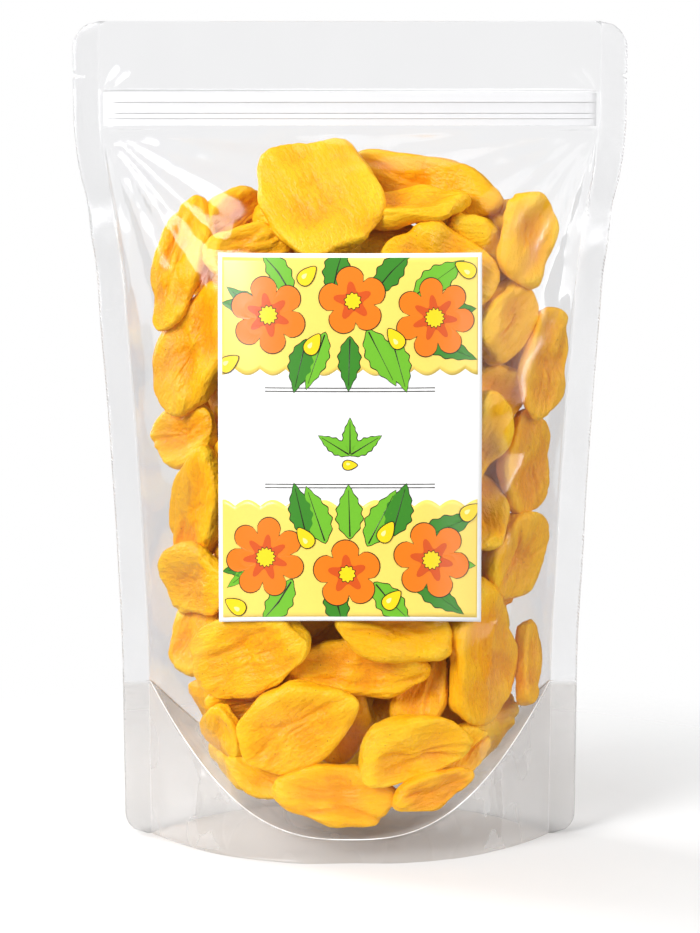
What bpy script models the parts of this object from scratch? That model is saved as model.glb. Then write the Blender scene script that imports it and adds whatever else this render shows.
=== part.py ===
"""A clear stand-up zip pouch, 200 x 300 mm flat, filled with dried jackfruit pieces.

Built in metres with +Z up. The front of the pouch faces -Y and its side seams lie in the plane y = 0.
All the sizes below are in millimetres and are turned to metres when a mesh is made.
"""
import math

import bmesh
import bpy
import numpy as np

MM = 0.001

# Pouch: outline and film
POUCH_HEIGHT = 300.0
SIDE_SEAL = 10.0
TOP_CORNER = 10.0
BOTTOM_CORNER = 8.0
FILM = 0.5
GAP = 0.3
SEAL_HALF_GAP = 0.15
EDGE_ROOM = 2.0
STEEPEST = 1.7
TEAR_NOTCH = 2.0
NOTCH_HEIGHT = 280.6
NOTCH_HALF = 1.0

# Half width of the filled pouch, outer edge of the side seals, against height
SIDE_HEIGHTS = (0, 33, 78, 100, 123, 145, 167, 190, 212, 223, 235, 246, 257, 268, 300)
SIDE_WIDTHS = (83.9, 84.2, 84.6, 85.7, 86.8, 88, 89.4, 91, 92.4, 93.9, 95.6, 98, 99.5, 100, 100)

# How far the middle of a panel stands away from the seam plane, against height
BULGE_HEIGHTS = (0, 30, 60, 100, 145, 190, 212, 224, 236, 246, 255, 263, 300)
BULGE_DEPTHS = (41.5, 43.5, 43.5, 41, 37.5, 32, 28, 24.5, 19.5, 13.5, 7, 1.2, 0)
BULGE_POWER = 2.7

# Zip: two strips pressed into each other
ZIP_LOW = 264.5
ZIP_HIGH = 274.5
ZIP_HALF_LENGTH = 89.0
ZIP_END_ROOM = 2.0
ZIP_ROOM = 1.9
ZIP_SHEET = 0.5
ZIP_BEAD = 1.6
ZIP_RAIL = 1.5
ZIP_BEAD_TIP = 0.6
ZIP_RAIL_TIP = 0.8

# Bottom gusset: how high its weld line stands in the middle and at the side seams
WELD_LOW = 9.0
WELD_RISE = 49.0
WELD_POWER = 1.35
WELD_HALF_SPAN = 74.0
WELD_TOP = 60.0
PLY_ROOM = 0.95
PLY_ROOM_HEIGHT = 58.0
PLY_ROOM_FADE = 8.0
GUSSET_SAG = 3.0
GUSSET_FOLD = 2.0
GUSSET_EDGE = 99.0

# Label on the front panel
LABEL_HALF_WIDTH = 47.0
LABEL_LOW = 88.3
LABEL_HIGH = 218.0
LABEL_SHEET = 0.3
LABEL_GAP = 0.35

# Mesh lines of the film, across the flat sheet and up
SEAL_LINE = 90.0
EDGE_LINE = 100.0
BAG_LINES = (0, 13.5, 27, 40.5, 54, 66, 78)
SHEET_LINES = BAG_LINES + (SEAL_LINE, 93, EDGE_LINE)
CORNER_ROW = 2.5
NOTCH_ROWS = (NOTCH_HEIGHT - NOTCH_HALF, NOTCH_HEIGHT, NOTCH_HEIGHT + NOTCH_HALF)
SHEET_ROWS = (0, CORNER_ROW, 8, 20, 34, 48, 58, 66, 82, 100, 122, 145, 167, 190, 206, 219, 230, 240, 249,
              257, 263.5, 275.5) + NOTCH_ROWS + (291, 297, POUCH_HEIGHT)
LABEL_LINES = BAG_LINES[:4]
LABEL_ROWS = (LABEL_LOW, 100, 122, 145, 167, 190, 206, LABEL_HIGH)

# Shares at which the gusset's skirts and its floor have mesh lines
SKIRT_STEPS = (0.1, 0.55, 1.0)
FLOOR_STEPS = (-0.93, -0.6, -0.2, 0.2, 0.6, 0.93)

# Dried fruit
PIECE_RINGS = ((0.45, 0.98), (0.80, 0.76), (1.0, 0.05), (0.84, -0.68), (0.47, -0.97))
HEAP_RINGS = ((0.62, 0.90), (1.0, 0.05), (0.64, -0.90))
FILM_CLEARANCE = 0.9
FLOOR_CLEARANCE = 1.0
PIECE_GAP = 0.34
DEPTH_STEP = 10.0
LEAST_REACH = 2.2
NARROWEST_REACH = 0.4
MOST_BEND = 0.35
MOST_TWIST = 0.35
LEAN_ON_FILM = 0.12
LEAN_BEHIND = 0.3
LEAN_IN_HEAP = 0.25
BACK_BEHIND = 0.1
SOFTNESS = 9.0
HALVINGS = 14
SEED = 41

# How strongly pieces are pushed and drawn while they settle
SETTLE_ROUNDS = 60
PUSH = 0.35
FILM_PUSH = 0.35
FLOOR_PUSH = 0.5
DRAW_HEAP = 0.04
DRAW_PIECE = 0.15
HEAP_OVERLAP = 4.0
WANTED_GAP = 0.2
HEAP_GIVE = 0.8

# Pieces seen from the front: x, z, turn in degrees, length, width, thickness,
# steps behind the film, share of egg shape, share of pointed tip, share of hollow
FRONT_PIECES = (
    (-12, 239, 118, 50, 41, 13, 0.0, 0.30, 0.10, 0.45),
    (23, 245, -18, 56, 26, 11, 1.1, 0.10, 0.20, 0.35),
    (24, 233, -12, 46, 22, 12, 0.4, 0.10, 0.00, 0.45),
    (38, 219, -22, 44, 32, 12, 0.0, 0.20, 0.00, 0.55),
    (65, 221, 68, 33, 23, 9, 0.1, 0.20, 0.10, 0.35),
    (-47, 232, 20, 31, 23, 9, 0.8, 0.10, 0.10, 0.30),
    (-62, 211, 80, 48, 20, 10, 0.0, 0.10, 0.30, 0.40),
    (-36, 222, 14, 33, 20, 10, 0.3, 0.20, 0.10, 0.30),
    (-60, 184, 66, 53, 30, 12, 0.0, 0.15, 0.05, 0.55),
    (-64, 153, 30, 28, 24, 10, 0.0, 0.10, 0.00, 0.30),
    (-56, 139, 60, 29, 20, 10, 0.9, 0.10, 0.00, 0.30),
    (-61, 123, 64, 43, 23, 10, 0.0, 0.20, 0.30, 0.40),
    (-60, 99, 18, 36, 26, 10, 0.0, 0.10, 0.00, 0.50),
    (-63, 79, 76, 31, 22, 9, 0.3, 0.10, 0.10, 0.30),
    (-38, 74, 24, 52, 29, 12, 0.0, 0.15, 0.05, 0.55),
    (0, 69, 0, 56, 20, 13, 0.5, 0.10, 0.10, 0.35),
    (17, 83, -12, 43, 23, 11, 0.0, 0.10, 0.20, 0.60),
    (-41, 55, 9, 41, 21, 10, 0.7, 0.10, 0.10, 0.30),
    (-21, 43, 40, 46, 32, 12, 0.0, 0.05, 0.00, 0.50),
    (-4, 50, 82, 31, 20, 10, 1.1, 0.10, 0.00, 0.30),
    (-5, 28, -6, 46, 25, 12, 0.0, 0.15, 0.15, 0.50),
    (24, 37, 4, 39, 26, 11, 0.1, 0.25, 0.40, 0.40),
    (54, 71, 108, 52, 35, 13, 0.0, 0.30, 0.30, 0.40),
    (30, 61, 80, 40, 20, 10, 0.7, 0.10, 0.10, 0.30),
    (45, 34, 45, 26, 19, 10, 0.3, 0.10, 0.00, 0.30),
    (65, 109, 70, 36, 25, 10, 0.0, 0.20, 0.00, 0.55),
    (69, 139, 86, 40, 22, 9, 0.0, 0.10, 0.10, 0.35),
    (60, 195, 44, 31, 25, 11, 0.0, 0.10, 0.00, 0.40),
    (71, 177, 80, 40, 19, 8, 0.1, 0.10, 0.20, 0.30),
    (57, 164, 28, 30, 22, 10, 0.7, 0.10, 0.00, 0.30),
    (51, 149, 70, 36, 24, 11, 0.8, 0.10, 0.10, 0.35),
    (51, 126, 100, 34, 24, 11, 0.4, 0.10, 0.10, 0.45),
    (-49, 42, 60, 29, 19, 10, 0.2, 0.10, 0.10, 0.30),
    (-34, 29, -14, 29, 18, 10, 0.2, 0.10, 0.10, 0.30),
    (69, 61, 76, 32, 15, 8, 0.2, 0.10, 0.30, 0.20),
    (29, 24, 8, 30, 17, 10, 0.1, 0.10, 0.20, 0.30),
)

# Pieces against the back panel: x, z, turn, length, width, thickness
BACK_PIECES = (
    (-8, 238, 160, 50, 32, 12),
    (44, 222, 30, 42, 28, 12),
    (-50, 216, 100, 42, 26, 11),
    (12, 202, 75, 46, 32, 13),
    (-24, 188, 20, 46, 30, 12),
    (54, 180, 95, 46, 30, 12),
    (-56, 162, 75, 48, 28, 12),
    (6, 156, 150, 50, 34, 13),
    (50, 132, 60, 46, 30, 12),
    (-30, 132, 120, 46, 32, 12),
    (10, 108, 20, 50, 32, 13),
    (-52, 90, 80, 46, 28, 12),
    (48, 84, 110, 46, 30, 12),
    (-8, 70, 150, 50, 34, 13),
    (36, 42, 30, 46, 30, 12),
    (-32, 38, 10, 48, 30, 12),
)

# Pieces in the middle, in rows that lie over each other like roof tiles, and the core that joins them
HEAP_ROWS = (30, 52, 74, 96, 118, 140, 161, 182, 203, 222)
HEAP_SPACING = 33.0
HEAP_SIDE_ROOM = 26.0
HEAP_DEPTH = 8.0
HEAP_SIZES = ((40, 50), (30, 36), (13, 16))
CORE_CENTRE = (0.0, 0.0, 124.0)
CORE_REACH = (46.0, 4.5, 100.0)


def smooth_curve(at, knots, values):
    """Read a smooth curve through hand-set knots: cubic pieces with slopes taken from both neighbours."""
    knots = np.asarray(knots, float)
    values = np.asarray(values, float)
    steps = np.diff(values) / np.diff(knots)
    slopes = np.concatenate(([steps[0]], (steps[:-1] + steps[1:]) / 2, [steps[-1]]))
    slopes[1:-1][steps[:-1] * steps[1:] <= 0] = 0.0
    at = np.clip(np.asarray(at, float), knots[0], knots[-1])
    piece = np.clip(np.searchsorted(knots, at, side="right") - 1, 0, len(knots) - 2)
    width = knots[piece + 1] - knots[piece]
    t = (at - knots[piece]) / width
    rise = (2 * t ** 3 - 3 * t ** 2 + 1) * values[piece] + (3 * t ** 2 - 2 * t ** 3) * values[piece + 1]
    lean = (t ** 3 - 2 * t ** 2 + t) * slopes[piece] + (t ** 3 - t ** 2) * slopes[piece + 1]
    return rise + lean * width


def seam_half_width(z):
    """Half width to the outer edge of the side seals, without the rounded corners."""
    return smooth_curve(z, SIDE_HEIGHTS, SIDE_WIDTHS)


def edge_half_width(z):
    """Half width of the cut sheet: the seal edge, the rounded corners and the tear notches."""
    z = np.asarray(z, float)
    half = seam_half_width(z)
    over = np.clip(z - (POUCH_HEIGHT - TOP_CORNER), 0, TOP_CORNER)
    half = half - TOP_CORNER + np.sqrt(TOP_CORNER ** 2 - over ** 2)
    under = np.clip(BOTTOM_CORNER - z, 0, BOTTOM_CORNER)
    half = half - BOTTOM_CORNER + np.sqrt(BOTTOM_CORNER ** 2 - under ** 2)
    notch = np.clip(1 - np.abs(z - NOTCH_HEIGHT) / NOTCH_HALF, 0, 1)
    return half - TEAR_NOTCH * notch


def bulge(x, z):
    """Distance of the filled film from the seam plane."""
    inner = seam_half_width(z) - SIDE_SEAL
    depth = smooth_curve(z, BULGE_HEIGHTS, BULGE_DEPTHS)
    share = np.clip(np.abs(x) / inner, 0, 1)
    return depth * (1 - share ** BULGE_POWER)


def room(x, z):
    """Least distance of the film's inner face from the seam plane: seals, zip and gusset plies."""
    low = np.clip((PLY_ROOM_HEIGHT + PLY_ROOM_FADE - z) / PLY_ROOM_FADE, 0, 1)
    plies = SEAL_HALF_GAP + (PLY_ROOM - SEAL_HALF_GAP) * low
    in_zip = (z > ZIP_LOW - 2) & (z < ZIP_HIGH + 2) & (np.abs(x) < ZIP_HALF_LENGTH + ZIP_END_ROOM)
    return np.where(in_zip, ZIP_ROOM, plies)


def inner_face(x, z):
    """Distance of the film's inner face from the seam plane."""
    return np.maximum(bulge(x, z), room(x, z))


def slant(x, z):
    """How much longer a step in y must be to pass the leaning film at right angles, 1 in the flat seals."""
    step = 0.5
    across = (bulge(x + step, z) - bulge(x - step, z)) / (2 * step)
    up = (bulge(x, z + step) - bulge(x, z - step)) / (2 * step)
    lean = np.minimum(np.sqrt(1 + across ** 2 + up ** 2), STEEPEST)
    return np.where(bulge(x, z) > room(x, z), lean, 1.0)


def sheet_x(line, z):
    """Place a line of the flat sheet across the filled pouch at a height."""
    edge = edge_half_width(z)
    inner = np.minimum(seam_half_width(z) - SIDE_SEAL, edge - EDGE_ROOM)
    size = np.abs(line)
    bag = inner * size / SEAL_LINE
    seal = inner + (edge - inner) * (size - SEAL_LINE) / (EDGE_LINE - SEAL_LINE)
    return np.sign(line) * np.where(size <= SEAL_LINE, bag, seal)


def weld_height(x):
    """Height of the curved weld line of the bottom gusset."""
    turn = np.clip(np.abs(x) / WELD_HALF_SPAN, 0, 1) * math.pi / 2
    return WELD_LOW + WELD_RISE * (1 - np.cos(turn)) ** WELD_POWER


def gusset_floor(x, y):
    """Height of the gusset between the two weld lines."""
    share = np.clip(1 - (x / WELD_HALF_SPAN) ** 2, 0, 1)
    width = np.maximum(inner_face(x, weld_height(x)), 1.0)
    dip = np.clip(1 - (y / width) ** 2, 0, 1)
    return weld_height(x) - GUSSET_SAG * share * dip


def clear_scene():
    """Remove the objects that a new scene comes with."""
    for thing in list(bpy.data.objects):
        bpy.data.objects.remove(thing, do_unlink=True)


def make_material(name, colour, roughness, alpha=1.0):
    """Make a plain Principled material."""
    material = bpy.data.materials.new(name)
    material.use_nodes = True
    shader = material.node_tree.nodes["Principled BSDF"]
    shader.inputs["Base Color"].default_value = (*colour, 1.0)
    shader.inputs["Roughness"].default_value = roughness
    shader.inputs["Alpha"].default_value = alpha
    material.diffuse_color = (*colour, alpha)
    return material


def add_body(name, vertices, faces, material, smooth=True):
    """Add one closed body from millimetre vertices, its faces turned outward."""
    mesh = bpy.data.meshes.new(name)
    mesh.from_pydata((np.asarray(vertices) * MM).tolist(), [], [list(map(int, face)) for face in faces])
    mesh.materials.append(material)
    mesh.polygons.foreach_set("use_smooth", [smooth] * len(mesh.polygons))
    mesh.update()
    body = bpy.data.objects.new(name, mesh)
    bpy.context.scene.collection.objects.link(body)
    return body


def grid_faces(rows, columns, first, flip, folded):
    """List the triangles of a grid of vertices that starts at a given index.

    The two halves of a grid are split along mirrored diagonals, and those of a folded sheet once more
    across its rows, so that sheets which lie against each other have facets that lie alike.
    """
    faces = []
    for row in range(rows - 1):
        for column in range(columns - 1):
            a = first + row * columns + column
            b = a + 1
            c = a + columns + 1
            d = a + columns
            mirrored = (column >= (columns - 1) / 2) != (folded and row >= (rows - 1) / 2)
            pair = [(a, b, d), (b, c, d)] if mirrored else [(a, b, c), (a, c, d)]
            faces += [face[::-1] for face in pair] if flip else pair
    return faces


def shell_faces(rows, columns, folded):
    """List the triangles of a closed sheet: an outer grid, an inner grid and the rim between them."""
    count = rows * columns
    faces = grid_faces(rows, columns, 0, False, folded) + grid_faces(rows, columns, count, True, folded)
    bottom = list(range(columns))
    right = [row * columns + columns - 1 for row in range(rows)]
    top = [(rows - 1) * columns + column for column in reversed(range(columns))]
    left = [row * columns for row in reversed(range(rows))]
    for side in (bottom, right, top, left):
        for a, b in zip(side[:-1], side[1:]):
            faces += [(b, a, a + count), (b, a + count, b + count)]
    return faces


def make_shell(name, outer, inner, material, flip, folded=False):
    """Make a closed sheet from two grids of points."""
    rows, columns = outer.shape[:2]
    vertices = np.concatenate((outer.reshape(-1, 3), inner.reshape(-1, 3)))
    faces = shell_faces(rows, columns, folded)
    if flip:
        faces = [face[::-1] for face in faces]
    return add_body(name, vertices, faces, material)


def make_panel(name, side, material):
    """Make the front (side -1) or the back (side 1) panel of film."""
    lines = [-line for line in reversed(SHEET_LINES[1:])] + list(SHEET_LINES)
    line_grid, z_grid = np.meshgrid(np.array(lines, float), np.array(SHEET_ROWS, float))
    x_grid = sheet_x(line_grid, z_grid)
    inside = inner_face(x_grid, z_grid)
    outside = inside + FILM * slant(x_grid, z_grid)
    outer = np.stack((x_grid, side * outside, z_grid), axis=-1)
    inner = np.stack((x_grid, side * inside, z_grid), axis=-1)
    return make_shell(name, outer, inner, material, side > 0)


def make_gusset(material):
    """Make the bottom gusset: two skirts inside the panels and the floor that joins them."""
    lines = list(SHEET_LINES[:-1]) + [GUSSET_EDGE]
    lines = [-line for line in reversed(lines[1:])] + lines
    upper = []
    lower = []
    for line in lines:
        weld = float(weld_height(sheet_x(line, WELD_TOP)))
        upper_row = []
        lower_row = []
        for side in (-1, 1):
            top = weld - GUSSET_FOLD
            heights = [0.0, CORNER_ROW] + [CORNER_ROW + step * (top - CORNER_ROW) for step in SKIRT_STEPS]
            for z in heights[::-side]:
                x = float(sheet_x(line, z))
                reach = float(inner_face(x, z))
                lean = float(slant(x, z))
                upper_row.append((x, side * (reach - GAP * lean), z))
                narrow = max(reach - (GAP + FILM) * lean, SEAL_HALF_GAP)
                lower_row.append((x, side * narrow, z))
            if side < 0:
                x = float(sheet_x(line, weld))
                reach = float(inner_face(x, weld))
                lean = float(slant(x, weld))
                for step in FLOOR_STEPS:
                    wide = step * (reach - GAP * lean)
                    narrow = step * max(reach - (GAP + FILM) * lean, SEAL_HALF_GAP)
                    drop = float(weld_height(x) - gusset_floor(x, wide))
                    upper_row.append((x, wide, weld - drop))
                    lower_row.append((x, narrow, weld - drop - FILM))
        upper.append(upper_row)
        lower.append(lower_row)
    return make_shell("bottom_gusset", np.array(upper), np.array(lower), material, True, folded=True)


def make_prism(name, outline, half_length, material):
    """Make a bar along x from a closed outline of (y, z) points."""
    count = len(outline)
    vertices = [(x, y, z) for x in (-half_length, half_length) for y, z in outline]
    faces = [(i, (i + 1) % count, count + (i + 1) % count, count + i) for i in range(count)]
    faces += [tuple(reversed(range(count))), tuple(range(count, 2 * count))]
    add_body(name, vertices, faces, material, smooth=False)


def make_zip(material):
    """Make the two zip strips: a bead on the front one and the rails that hold it on the back one."""
    middle = (ZIP_LOW + ZIP_HIGH) / 2
    face = ZIP_ROOM - GAP
    root = face - ZIP_SHEET
    bead = ZIP_BEAD / 2
    front = [(-face, ZIP_LOW), (-root, ZIP_LOW), (-root, middle - bead), (ZIP_BEAD_TIP, middle - bead),
             (ZIP_BEAD_TIP, middle + bead), (-root, middle + bead), (-root, ZIP_HIGH), (-face, ZIP_HIGH)]
    near = bead + GAP
    far = near + ZIP_RAIL
    back = [(face, ZIP_HIGH), (root, ZIP_HIGH), (root, middle + far), (-ZIP_RAIL_TIP, middle + far),
            (-ZIP_RAIL_TIP, middle + near), (root, middle + near), (root, middle - near),
            (-ZIP_RAIL_TIP, middle - near), (-ZIP_RAIL_TIP, middle - far), (root, middle - far),
            (root, ZIP_LOW), (face, ZIP_LOW)]
    make_prism("zip_strip_front", front, ZIP_HALF_LENGTH, material)
    make_prism("zip_strip_back", back, ZIP_HALF_LENGTH, material)


def make_label(material):
    """Make the paper label, which follows the bulge of the front panel."""
    rows = []
    for z in LABEL_ROWS:
        inner_lines = [float(sheet_x(line, z)) for line in LABEL_LINES]
        half = inner_lines + [LABEL_HALF_WIDTH]
        rows.append([-x for x in reversed(half[1:])] + half)
    x_grid = np.array(rows)
    z_grid = np.repeat(np.array(LABEL_ROWS)[:, None], x_grid.shape[1], axis=1)
    lean = slant(x_grid, z_grid)
    under = inner_face(x_grid, z_grid) + (FILM + LABEL_GAP) * lean
    over = under + LABEL_SHEET * lean
    outer = np.stack((x_grid, -over, z_grid), axis=-1)
    inner = np.stack((x_grid, -under, z_grid), axis=-1)
    return make_shell("label", outer, inner, material, False)


class Lobe:
    """One dried piece: a centre, three axes (length, width, flat side) and a coarse closed mesh."""

    def __init__(self, centre, axes, sizes, rng, shape=(0.15, 0.1, 0.2), segments=12, fused=False):
        self.centre = np.array(centre, float)
        self.axes = np.array(axes, float)
        self.reach = np.array(sizes, float) / 2
        self.home = self.centre.copy()
        self.fused = fused
        self.segments = segments
        self.local = self.form(rng, shape)

    def form(self, rng, shape):
        """Lay out the rings from one flat side to the other: an egg outline, a tip, a hollow, a bend."""
        egg, tip, hollow = shape
        rings = HEAP_RINGS if self.fused else PIECE_RINGS
        turn = np.arange(self.segments) * 2 * math.pi / self.segments
        along = np.sign(np.cos(turn)) * np.abs(np.cos(turn)) ** 0.88
        across = np.sign(np.sin(turn)) * np.abs(np.sin(turn)) ** 0.88
        across = across * (1 - egg * along)
        along = along * (1 + tip * np.clip(along, 0, 1) ** 4)
        wave = 1 + 0.06 * np.sin(2 * turn + rng.uniform(0, 6)) + 0.07 * np.sin(3 * turn + rng.uniform(0, 6))
        bend = rng.uniform(-MOST_BEND, MOST_BEND)
        twist = rng.uniform(-MOST_TWIST, MOST_TWIST)
        points = [(0, 0, 1 - hollow)]
        for share, height in rings:
            lift = height - np.sign(height) * hollow * (1 - share ** 2) * (height > 0)
            for i in range(self.segments):
                points.append((share * wave[i] * along[i], share * wave[i] * across[i], lift))
        points.append((0, 0, -1))
        points = np.array(points)
        points[:, 2] += bend * points[:, 0] ** 2
        angle = twist * points[:, 0]
        length, width, flat = self.reach
        x = points[:, 0] * length
        y = points[:, 1] * width
        z = points[:, 2] * flat
        turned_y = y * np.cos(angle) - z * np.sin(angle)
        turned_z = y * np.sin(angle) + z * np.cos(angle)
        return np.stack((x, turned_y, turned_z), 1)

    def faces(self):
        """List the triangles of the rings and of the two flat ends."""
        count = self.segments
        rings = (len(self.local) - 2) // count
        last = len(self.local) - 1
        faces = []
        for i in range(count):
            j = (i + 1) % count
            faces.append((0, 1 + i, 1 + j))
            for ring in range(rings - 1):
                a = 1 + ring * count + i
                b = 1 + ring * count + j
                faces += [(a, a + count, b + count), (a, b + count, b)]
            low = 1 + (rings - 1) * count
            faces.append((low + i, last, low + j))
        return faces

    def spokes(self):
        """Vectors from the centre to every vertex."""
        return self.local @ self.axes

    def spread(self):
        """The matrix whose square root along a direction is the reach of the piece's ellipsoid."""
        return self.axes.T @ np.diag(self.reach ** 2) @ self.axes


def film_normal(x, z, side):
    """Unit vector out of the film at a point of the front (-1) or the back (1) panel."""
    step = 0.5
    across = (bulge(x + step, z) - bulge(x - step, z)) / (2 * step)
    up = (bulge(x, z + step) - bulge(x, z - step)) / (2 * step)
    normal = np.array((-float(across), float(side), -float(up)))
    return normal / np.linalg.norm(normal)


def laid_axes(normal, turn):
    """Axes of a piece whose flat side faces along the normal and whose length has a turn from +X."""
    flat = normal / np.linalg.norm(normal)
    want = np.array((math.cos(turn), 0.0, math.sin(turn)))
    length = want - flat * (want @ flat)
    length /= np.linalg.norm(length)
    return np.array((length, np.cross(flat, length), flat))


def tilted(normal, rng, amount):
    """Lean a unit vector by a small random amount."""
    leaned = normal + rng.normal(0, amount, 3)
    return leaned / np.linalg.norm(leaned)


def laid_on_film(x, z, side, turn, sizes, behind, rng, shape):
    """Place a piece flat against the inside of a panel, or a few steps behind it."""
    normal = film_normal(x, z, side)
    depth = FILM_CLEARANCE + sizes[2] / 2 + behind * DEPTH_STEP
    start = np.array((x, side * float(bulge(x, z)), z))
    lean = LEAN_ON_FILM if behind < 0.25 else LEAN_BEHIND
    axes = laid_axes(tilted(normal, rng, lean), math.radians(turn))
    return Lobe(start - normal * depth, axes, sizes, rng, shape)


def lay_heap(rng):
    """Place the pieces in the middle of the pouch, row over row, by turns to the front and to the back."""
    heap = []
    for row, z in enumerate(HEAP_ROWS):
        half = float(seam_half_width(z)) - HEAP_SIDE_ROOM
        count = int(2 * half // HEAP_SPACING) + row % 2
        for place in range(count):
            x = half * (2 * (place + 0.5) / count - 1) + rng.uniform(-4, 4)
            side = 1 if (row + place) % 2 else -1
            y = side * HEAP_DEPTH * float(bulge(x, z)) / BULGE_DEPTHS[0]
            sizes = [rng.uniform(low, high) for low, high in HEAP_SIZES]
            normal = tilted(np.array((0.0, side, 0.25)), rng, LEAN_IN_HEAP)
            axes = laid_axes(normal, rng.uniform(0, math.pi))
            heap.append(Lobe((x, y, z + rng.uniform(-4, 4)), axes, sizes, rng, segments=8, fused=True))
    return heap


def best_split(one, other):
    """Find the direction in which two pieces stand furthest apart, and how far apart they are."""
    between = other.centre - one.centre
    first = one.spread()
    second = other.spread()
    best = None
    for share in (0.25, 0.5, 0.75):
        normal = np.linalg.solve(first / share + second / (1 - share), between)
        normal /= np.linalg.norm(normal)
        apart = normal @ between - math.sqrt(normal @ first @ normal) - math.sqrt(normal @ second @ normal)
        if best is None or apart > best[1]:
            best = (normal, apart)
    return best


def keep_inside(piece):
    """Push a piece back between the two panels and above the gusset."""
    x, y, z = piece.centre
    spread = piece.spread()
    for side in (-1, 1):
        normal = film_normal(x, z, side)
        past = normal[1] * side * (side * y - float(bulge(x, z)))
        past += math.sqrt(normal @ spread @ normal) + FILM_CLEARANCE
        if past > 0:
            piece.centre = piece.centre - FILM_PUSH * past * normal
    low = float(gusset_floor(piece.centre[0], piece.centre[1])) + math.sqrt(spread[2, 2]) + FLOOR_CLEARANCE
    if piece.centre[2] < low:
        piece.centre[2] += FLOOR_PUSH * (low - piece.centre[2])


def settle(pieces, rounds):
    """Push overlapping pieces apart a little at a time while each is drawn back to its place."""
    for _ in range(rounds):
        for i, one in enumerate(pieces):
            for other in pieces[i + 1:]:
                if np.abs(one.centre - other.centre).max() > one.reach.max() + other.reach.max():
                    continue
                normal, apart = best_split(one, other)
                wanted = -HEAP_OVERLAP if one.fused and other.fused else WANTED_GAP
                if apart < wanted:
                    push = PUSH * (wanted - apart) * normal
                    give = HEAP_GIVE if other.fused and not one.fused else 0.5
                    one.centre = one.centre - push * 2 * (1 - give)
                    other.centre = other.centre + push * 2 * give
        for piece in pieces:
            draw = DRAW_HEAP if piece.fused else DRAW_PIECE
            piece.centre += draw * (piece.home - piece.centre)
            keep_inside(piece)


def press_together(pieces):
    """Flatten the pieces against each other so that a gap is left between every two.

    Between two close pieces stands a plane half way between their nearest points. Every vertex is drawn
    toward its own centre until it lies behind all the planes and inside the film.
    """
    limits = [[] for _ in pieces]
    for i, one in enumerate(pieces):
        for j in range(i + 1, len(pieces)):
            other = pieces[j]
            if one.fused and other.fused:
                continue
            if np.abs(one.centre - other.centre).max() > one.reach.max() + other.reach.max() + 4:
                continue
            normal, _ = best_split(one, other)
            far = (one.spokes() @ normal).max() + one.centre @ normal
            near = (other.spokes() @ normal).min() + other.centre @ normal
            if far + PIECE_GAP < near:
                continue
            low = one.centre @ normal + LEAST_REACH
            high = other.centre @ normal - LEAST_REACH
            plane = min(max((far + near) / 2, low), high)
            limits[i].append((normal, plane - PIECE_GAP / 2))
            limits[j].append((-normal, -(plane + PIECE_GAP / 2)))
    meshes = []
    for piece, planes in zip(pieces, limits):
        spokes = piece.spokes()
        shrink = np.ones(len(spokes))
        for normal, offset in planes:
            reach = max(offset - piece.centre @ normal, NARROWEST_REACH)
            used = np.clip((spokes @ normal) / reach, 0, None)
            shrink += used ** SOFTNESS
        spokes = spokes * ((shrink ** (-1 / SOFTNESS))[:, None])
        meshes.append(piece.centre + spokes * inside_share(piece.centre, spokes)[:, None])
    return meshes


def stays_inside(points):
    """Tell which points lie between the two panels and above the gusset."""
    x, y, z = points.T
    limit = bulge(x, z) - FILM_CLEARANCE * slant(x, z)
    return (np.abs(y) <= limit) & (z >= gusset_floor(x, y) + FLOOR_CLEARANCE)


def inside_share(centre, spokes):
    """Find by halving how far along each spoke the point stays in the pouch."""
    low = np.zeros(len(spokes))
    high = np.ones(len(spokes))
    for _ in range(HALVINGS):
        share = (low + high) / 2
        good = stays_inside(centre + spokes * share[:, None])
        low = np.where(good, share, low)
        high = np.where(good, high, share)
    return np.where(stays_inside(centre + spokes), 1.0, low)


def drop_scraps(mesh):
    """Keep the largest connected piece of a mesh."""
    work = bmesh.new()
    work.from_mesh(mesh)
    left = set(work.verts)
    groups = []
    while left:
        group = {left.pop()}
        front = list(group)
        while front:
            for edge in front.pop().link_edges:
                for vertex in edge.verts:
                    if vertex not in group:
                        group.add(vertex)
                        front.append(vertex)
        left -= group
        groups.append(group)
    keep = max(groups, key=len)
    bmesh.ops.delete(work, geom=[vertex for vertex in work.verts if vertex not in keep], context="VERTS")
    work.to_mesh(mesh)
    work.free()


def fuse(name, bodies, material):
    """Join overlapping bodies into one closed body and drop loose scraps."""
    collection = bpy.data.collections.new(name + "_parts")
    for body in bodies[1:]:
        collection.objects.link(body)
    base = bodies[0]
    base.name = name
    joined = base.modifiers.new("joined", "BOOLEAN")
    joined.operation = "UNION"
    joined.operand_type = "COLLECTION"
    joined.collection = collection
    joined.solver = "EXACT"
    graph = bpy.context.evaluated_depsgraph_get()
    mesh = bpy.data.meshes.new_from_object(base.evaluated_get(graph))
    base.modifiers.clear()
    base.data = mesh
    for body in bodies[1:]:
        bpy.data.objects.remove(body, do_unlink=True)
    bpy.data.collections.remove(collection)
    drop_scraps(mesh)
    mesh.materials.clear()
    mesh.materials.append(material)
    return base


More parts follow.
